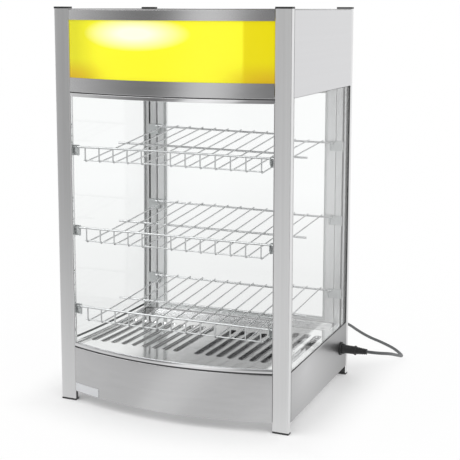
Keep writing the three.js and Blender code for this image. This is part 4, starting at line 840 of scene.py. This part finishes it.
# The emission is painted lamp light in the sheet's own colour.
fill(tree.nodes["Principled BSDF"], {
    "Roughness": 0.25, "Coat Weight": 0.05, "Coat Roughness": 0.08, "Specular IOR Level": 0.3,
    "Base Color": sheet, "Emission Color": sheet, "Emission Strength": 0.22})
wear(yellow, "lit_panel", display)
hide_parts("display_panel")
lamp_glass = moulded_finish("frosted lamp glass", (0.9, 0.9, 0.86), 0.3, 1500.0, 0.1, 0.02)
dress(lamp_glass, "lamp_tube")
for piece in (lower_band, upper_band, display):
    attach(piece, "cabinet")

# The three racks are welded from chromed wire: thirteen wires turn up at the front to a rail, on
# two cross wires and a thinner one at their bend. Grey hooked hangers carry them in the posts.
WIRE, CROSS_WIRE = 0.0013, 0.002
WIRE_COUNT, WIRE_PITCH = 13, 0.0302
RAIL_HEIGHT, BEND = 0.0275, 0.004
wire_finish = brushed_finish("chromed rack wire", (0.66, 0.665, 0.67), 0.34, "Y", 0.15, 0.1, 0.05)
rack_front, rack_middle, rack_rear = 0.009 + ROW, 0.18189 + ROW, 0.348 + ROW
rack_slope = 20 / 339
weld = 0.85 * (WIRE + CROSS_WIRE)


def rack_height(y):
    """The height of a rack's wire over its front corner."""
    return (y - rack_front) * rack_slope


fold = np.linspace(math.pi, math.pi + math.pi / 2 + math.atan(rack_slope), 9)
bend = np.stack([
    np.zeros_like(fold), rack_front + BEND + BEND * np.cos(fold), BEND + BEND * np.sin(fold)], axis=1)
wire_line = np.vstack([
    [[0, rack_front, RAIL_HEIGHT]], bend, [[0, rack_rear + 0.004, rack_height(rack_rear + 0.004)]]])
wire_rings = rod(wire_line, WIRE, 12)
wire_places = (np.arange(WIRE_COUNT) - WIRE_COUNT // 2) * WIRE_PITCH
rack_parts = [wire_rings + np.array([x, 0, 0]) for x in wire_places]
for half, y, z, radius in (
        (0.206, rack_front, RAIL_HEIGHT, CROSS_WIRE), (0.186, rack_front + 0.0022, 0.0022, WIRE),
        (0.206, rack_middle, rack_height(rack_middle) - weld, CROSS_WIRE),
        (0.206, rack_rear, rack_height(rack_rear) - weld, CROSS_WIRE)):
    domed = np.array([[x, y, z] for x in (-half, -half + 0.0006, half - 0.0006, half)])
    rack_parts.append(rod(domed, np.array([0.6, 1, 1, 0.6]) * radius, 16))
for rack_name, level in (("lower", 0.1651), ("middle", 0.322), ("upper", 0.479)):
    rack = skins(f"{rack_name}_wire_rack", [part + np.array([0, 0, level]) for part in rack_parts])
    wear(wire_finish, "rack_wire", rack)
    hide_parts(f"rack_{rack_name}")
    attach(rack, f"{rack_name}_rack")
hanger_grey = moulded_finish("grey painted hanger", (0.66, 0.665, 0.67), 0.4, 700.0, 0.2, 0.05, 0.3)
dress(hanger_grey, *(f"rack_hanger_{name}" for name in corner_names))


# Floor, light and backdrop: a pale floor that takes the cabinet's shadow, and a soft pale room.
# The room is bright behind and beside the cabinet, and ahead it has one bright band between two
# dark ones, as the metal shows it. Its shades are pairs of bearing and grey.
ROOM_SHADES = (
    (-180, 1.0), (-110, 1.0), (-80, 0.9), (-62, 0.62), (-48, 0.4), (-37, 0.26), (-28, 0.18), (-21, 0.34),
    (-14, 0.9), (-8, 1.0), (0, 0.85), (8, 0.32), (20, 0.22), (45, 0.7), (90, 1.0))


def room_tones(tree, direction):
    """Two colours for a direction in the room: its shade by bearing, in degrees from the front
    towards the right, and the grey of the canopy that hangs overhead behind the cabinet."""
    aim = add_node(tree, "VectorMath", {0: direction}, operation="NORMALIZE")
    way = add_node(tree, "SeparateXYZ", {0: aim}).outputs
    bearing = reckon(tree, "ARCTAN2", way["X"], reckon(tree, "MULTIPLY", way["Y"], -1.0))
    shades = add_node(tree, "ValToRGB", {"Fac": ramp(tree, bearing, -math.pi, math.pi, slope="LINEAR")})
    shades.color_ramp.interpolation = "EASE"
    while len(shades.color_ramp.elements) < len(ROOM_SHADES):
        shades.color_ramp.elements.new(0.5)
    for stop, (degrees, shade) in zip(shades.color_ramp.elements, ROOM_SHADES):
        stop.position = (degrees + 180) / 360
        stop.color = (shade, shade, shade, 1)
    canopy = reckon(
        tree, "MULTIPLY", ramp(tree, way["Z"], 0.36, 0.42, slope="LINEAR"),
        ramp(tree, way["Z"], 0.62, 0.8, 1, 0, "LINEAR"))
    behind = reckon(tree, "MULTIPLY", canopy, ramp(tree, way["Y"], 0.2, 0.5, slope="LINEAR"))
    overhead = blend(tree, behind, 1, 0.14)
    return blend(tree, 1.0, shades, overhead, "MULTIPLY"), overhead


# The floor is white to the eye away from the cabinet and keeps the shadow near it. What metal
# sees in it is the room's tone, greyer close by.
floor_mesh = bpy.data.meshes.new("floor")
floor_mesh.from_pydata([(-9, -9, 0), (9, -9, 0), (9, 9, 0), (-9, 9, 0)], [], [(0, 1, 2, 3)])
floor = bpy.data.objects.new("floor", floor_mesh)
bpy.context.scene.collection.objects.link(floor)
floor_paint = bpy.data.materials.new("pale floor")
floor_paint.use_nodes = True
floor_paint.cycles.emission_sampling = "NONE"
WHITE_SHARE = 0.95
tree = floor_paint.node_tree
matt = fill(tree.nodes["Principled BSDF"], {
    "Base Color": (0.97, 0.97, 0.97, 1), "Roughness": 0.8, "Specular IOR Level": 0.0})
white = add_node(tree, "Emission", {"Color": (1, 1, 1, 1), "Strength": 1.0})
seen = add_node(tree, "LightPath").outputs
place = add_node(tree, "TexCoord").outputs["Object"]
spot = add_node(tree, "SeparateXYZ", {"Vector": place}).outputs
beside = ramp(tree, reckon(tree, "ABSOLUTE", spot["X"]), 0.2, 0.36, high=WHITE_SHARE)
behind = ramp(tree, spot["Y"], 0.17, 0.36, high=WHITE_SHARE)
from_bow = add_node(tree, "VectorMath", {0: place, 1: (0, BOW_CENTRE, 0)}, operation="DISTANCE")
ahead = ramp(tree, from_bow, BOW_RADIUS, BOW_RADIUS + 0.14, high=WHITE_SHARE)
clear_of = reckon(tree, "MAXIMUM", reckon(tree, "MAXIMUM", beside, behind), ahead)
shown = reckon(tree, "MAXIMUM", seen["Is Camera Ray"], seen["Is Transmission Ray"])
lifted = add_node(tree, "MixShader", {0: reckon(tree, "MULTIPLY", shown, clear_of), 1: matt, 2: white})
distance = add_node(tree, "VectorMath", {0: place}, operation="LENGTH")
tone = blend(tree, ramp(tree, distance, 0.6, 2.4, 0.2, slope="LINEAR"), 0.85, room_tones(tree, place)[0])
mirrored = add_node(tree, "Emission", {"Color": tone})
fill(tree.nodes["Material Output"], {
    "Surface": add_node(tree, "MixShader", {0: seen["Is Glossy Ray"], 1: lifted, 2: mirrored})})
floor_mesh.materials.append(floor_paint)

# The backdrop is white to the eye, the canopy's grey through glass, and the room's tones to
# metal. Two soft suns light the cabinet, the brighter one from the front left.
world = bpy.data.worlds.new("studio")
world.use_nodes = True
bpy.context.scene.world = world
sky = world.node_tree
room_colour, overhead = room_tones(sky, add_node(sky, "TexCoord").outputs["Generated"])
room = fill(sky.nodes["Background"], {"Color": room_colour})
seen = add_node(sky, "LightPath").outputs
backdrop = add_node(sky, "Background", {"Color": blend(sky, seen["Is Camera Ray"], overhead, 1)})
shown = reckon(sky, "MAXIMUM", seen["Is Camera Ray"], seen["Is Transmission Ray"])
fill(sky.nodes["World Output"], {"Surface": add_node(sky, "MixShader", {0: shown, 1: room, 2: backdrop})})


def soft_sun(name, come_from, strength, spread):
    """A far soft lamp: its light comes from one side, from a disc that looks spread degrees wide."""
    light = bpy.data.lights.new(name, "SUN")
    light.energy, light.angle = strength, math.radians(spread)
    holder = bpy.data.objects.new(name, light)
    holder.rotation_euler = Vector(come_from).to_track_quat("Z", "Y").to_euler()
    bpy.context.scene.collection.objects.link(holder)


soft_sun("key", (-0.7, -0.6, 1.1), 0.9, 50)
soft_sun("fill", (0.9, -0.2, 0.9), 0.4, 60)
bpy.context.scene.view_settings.view_transform = "Standard"
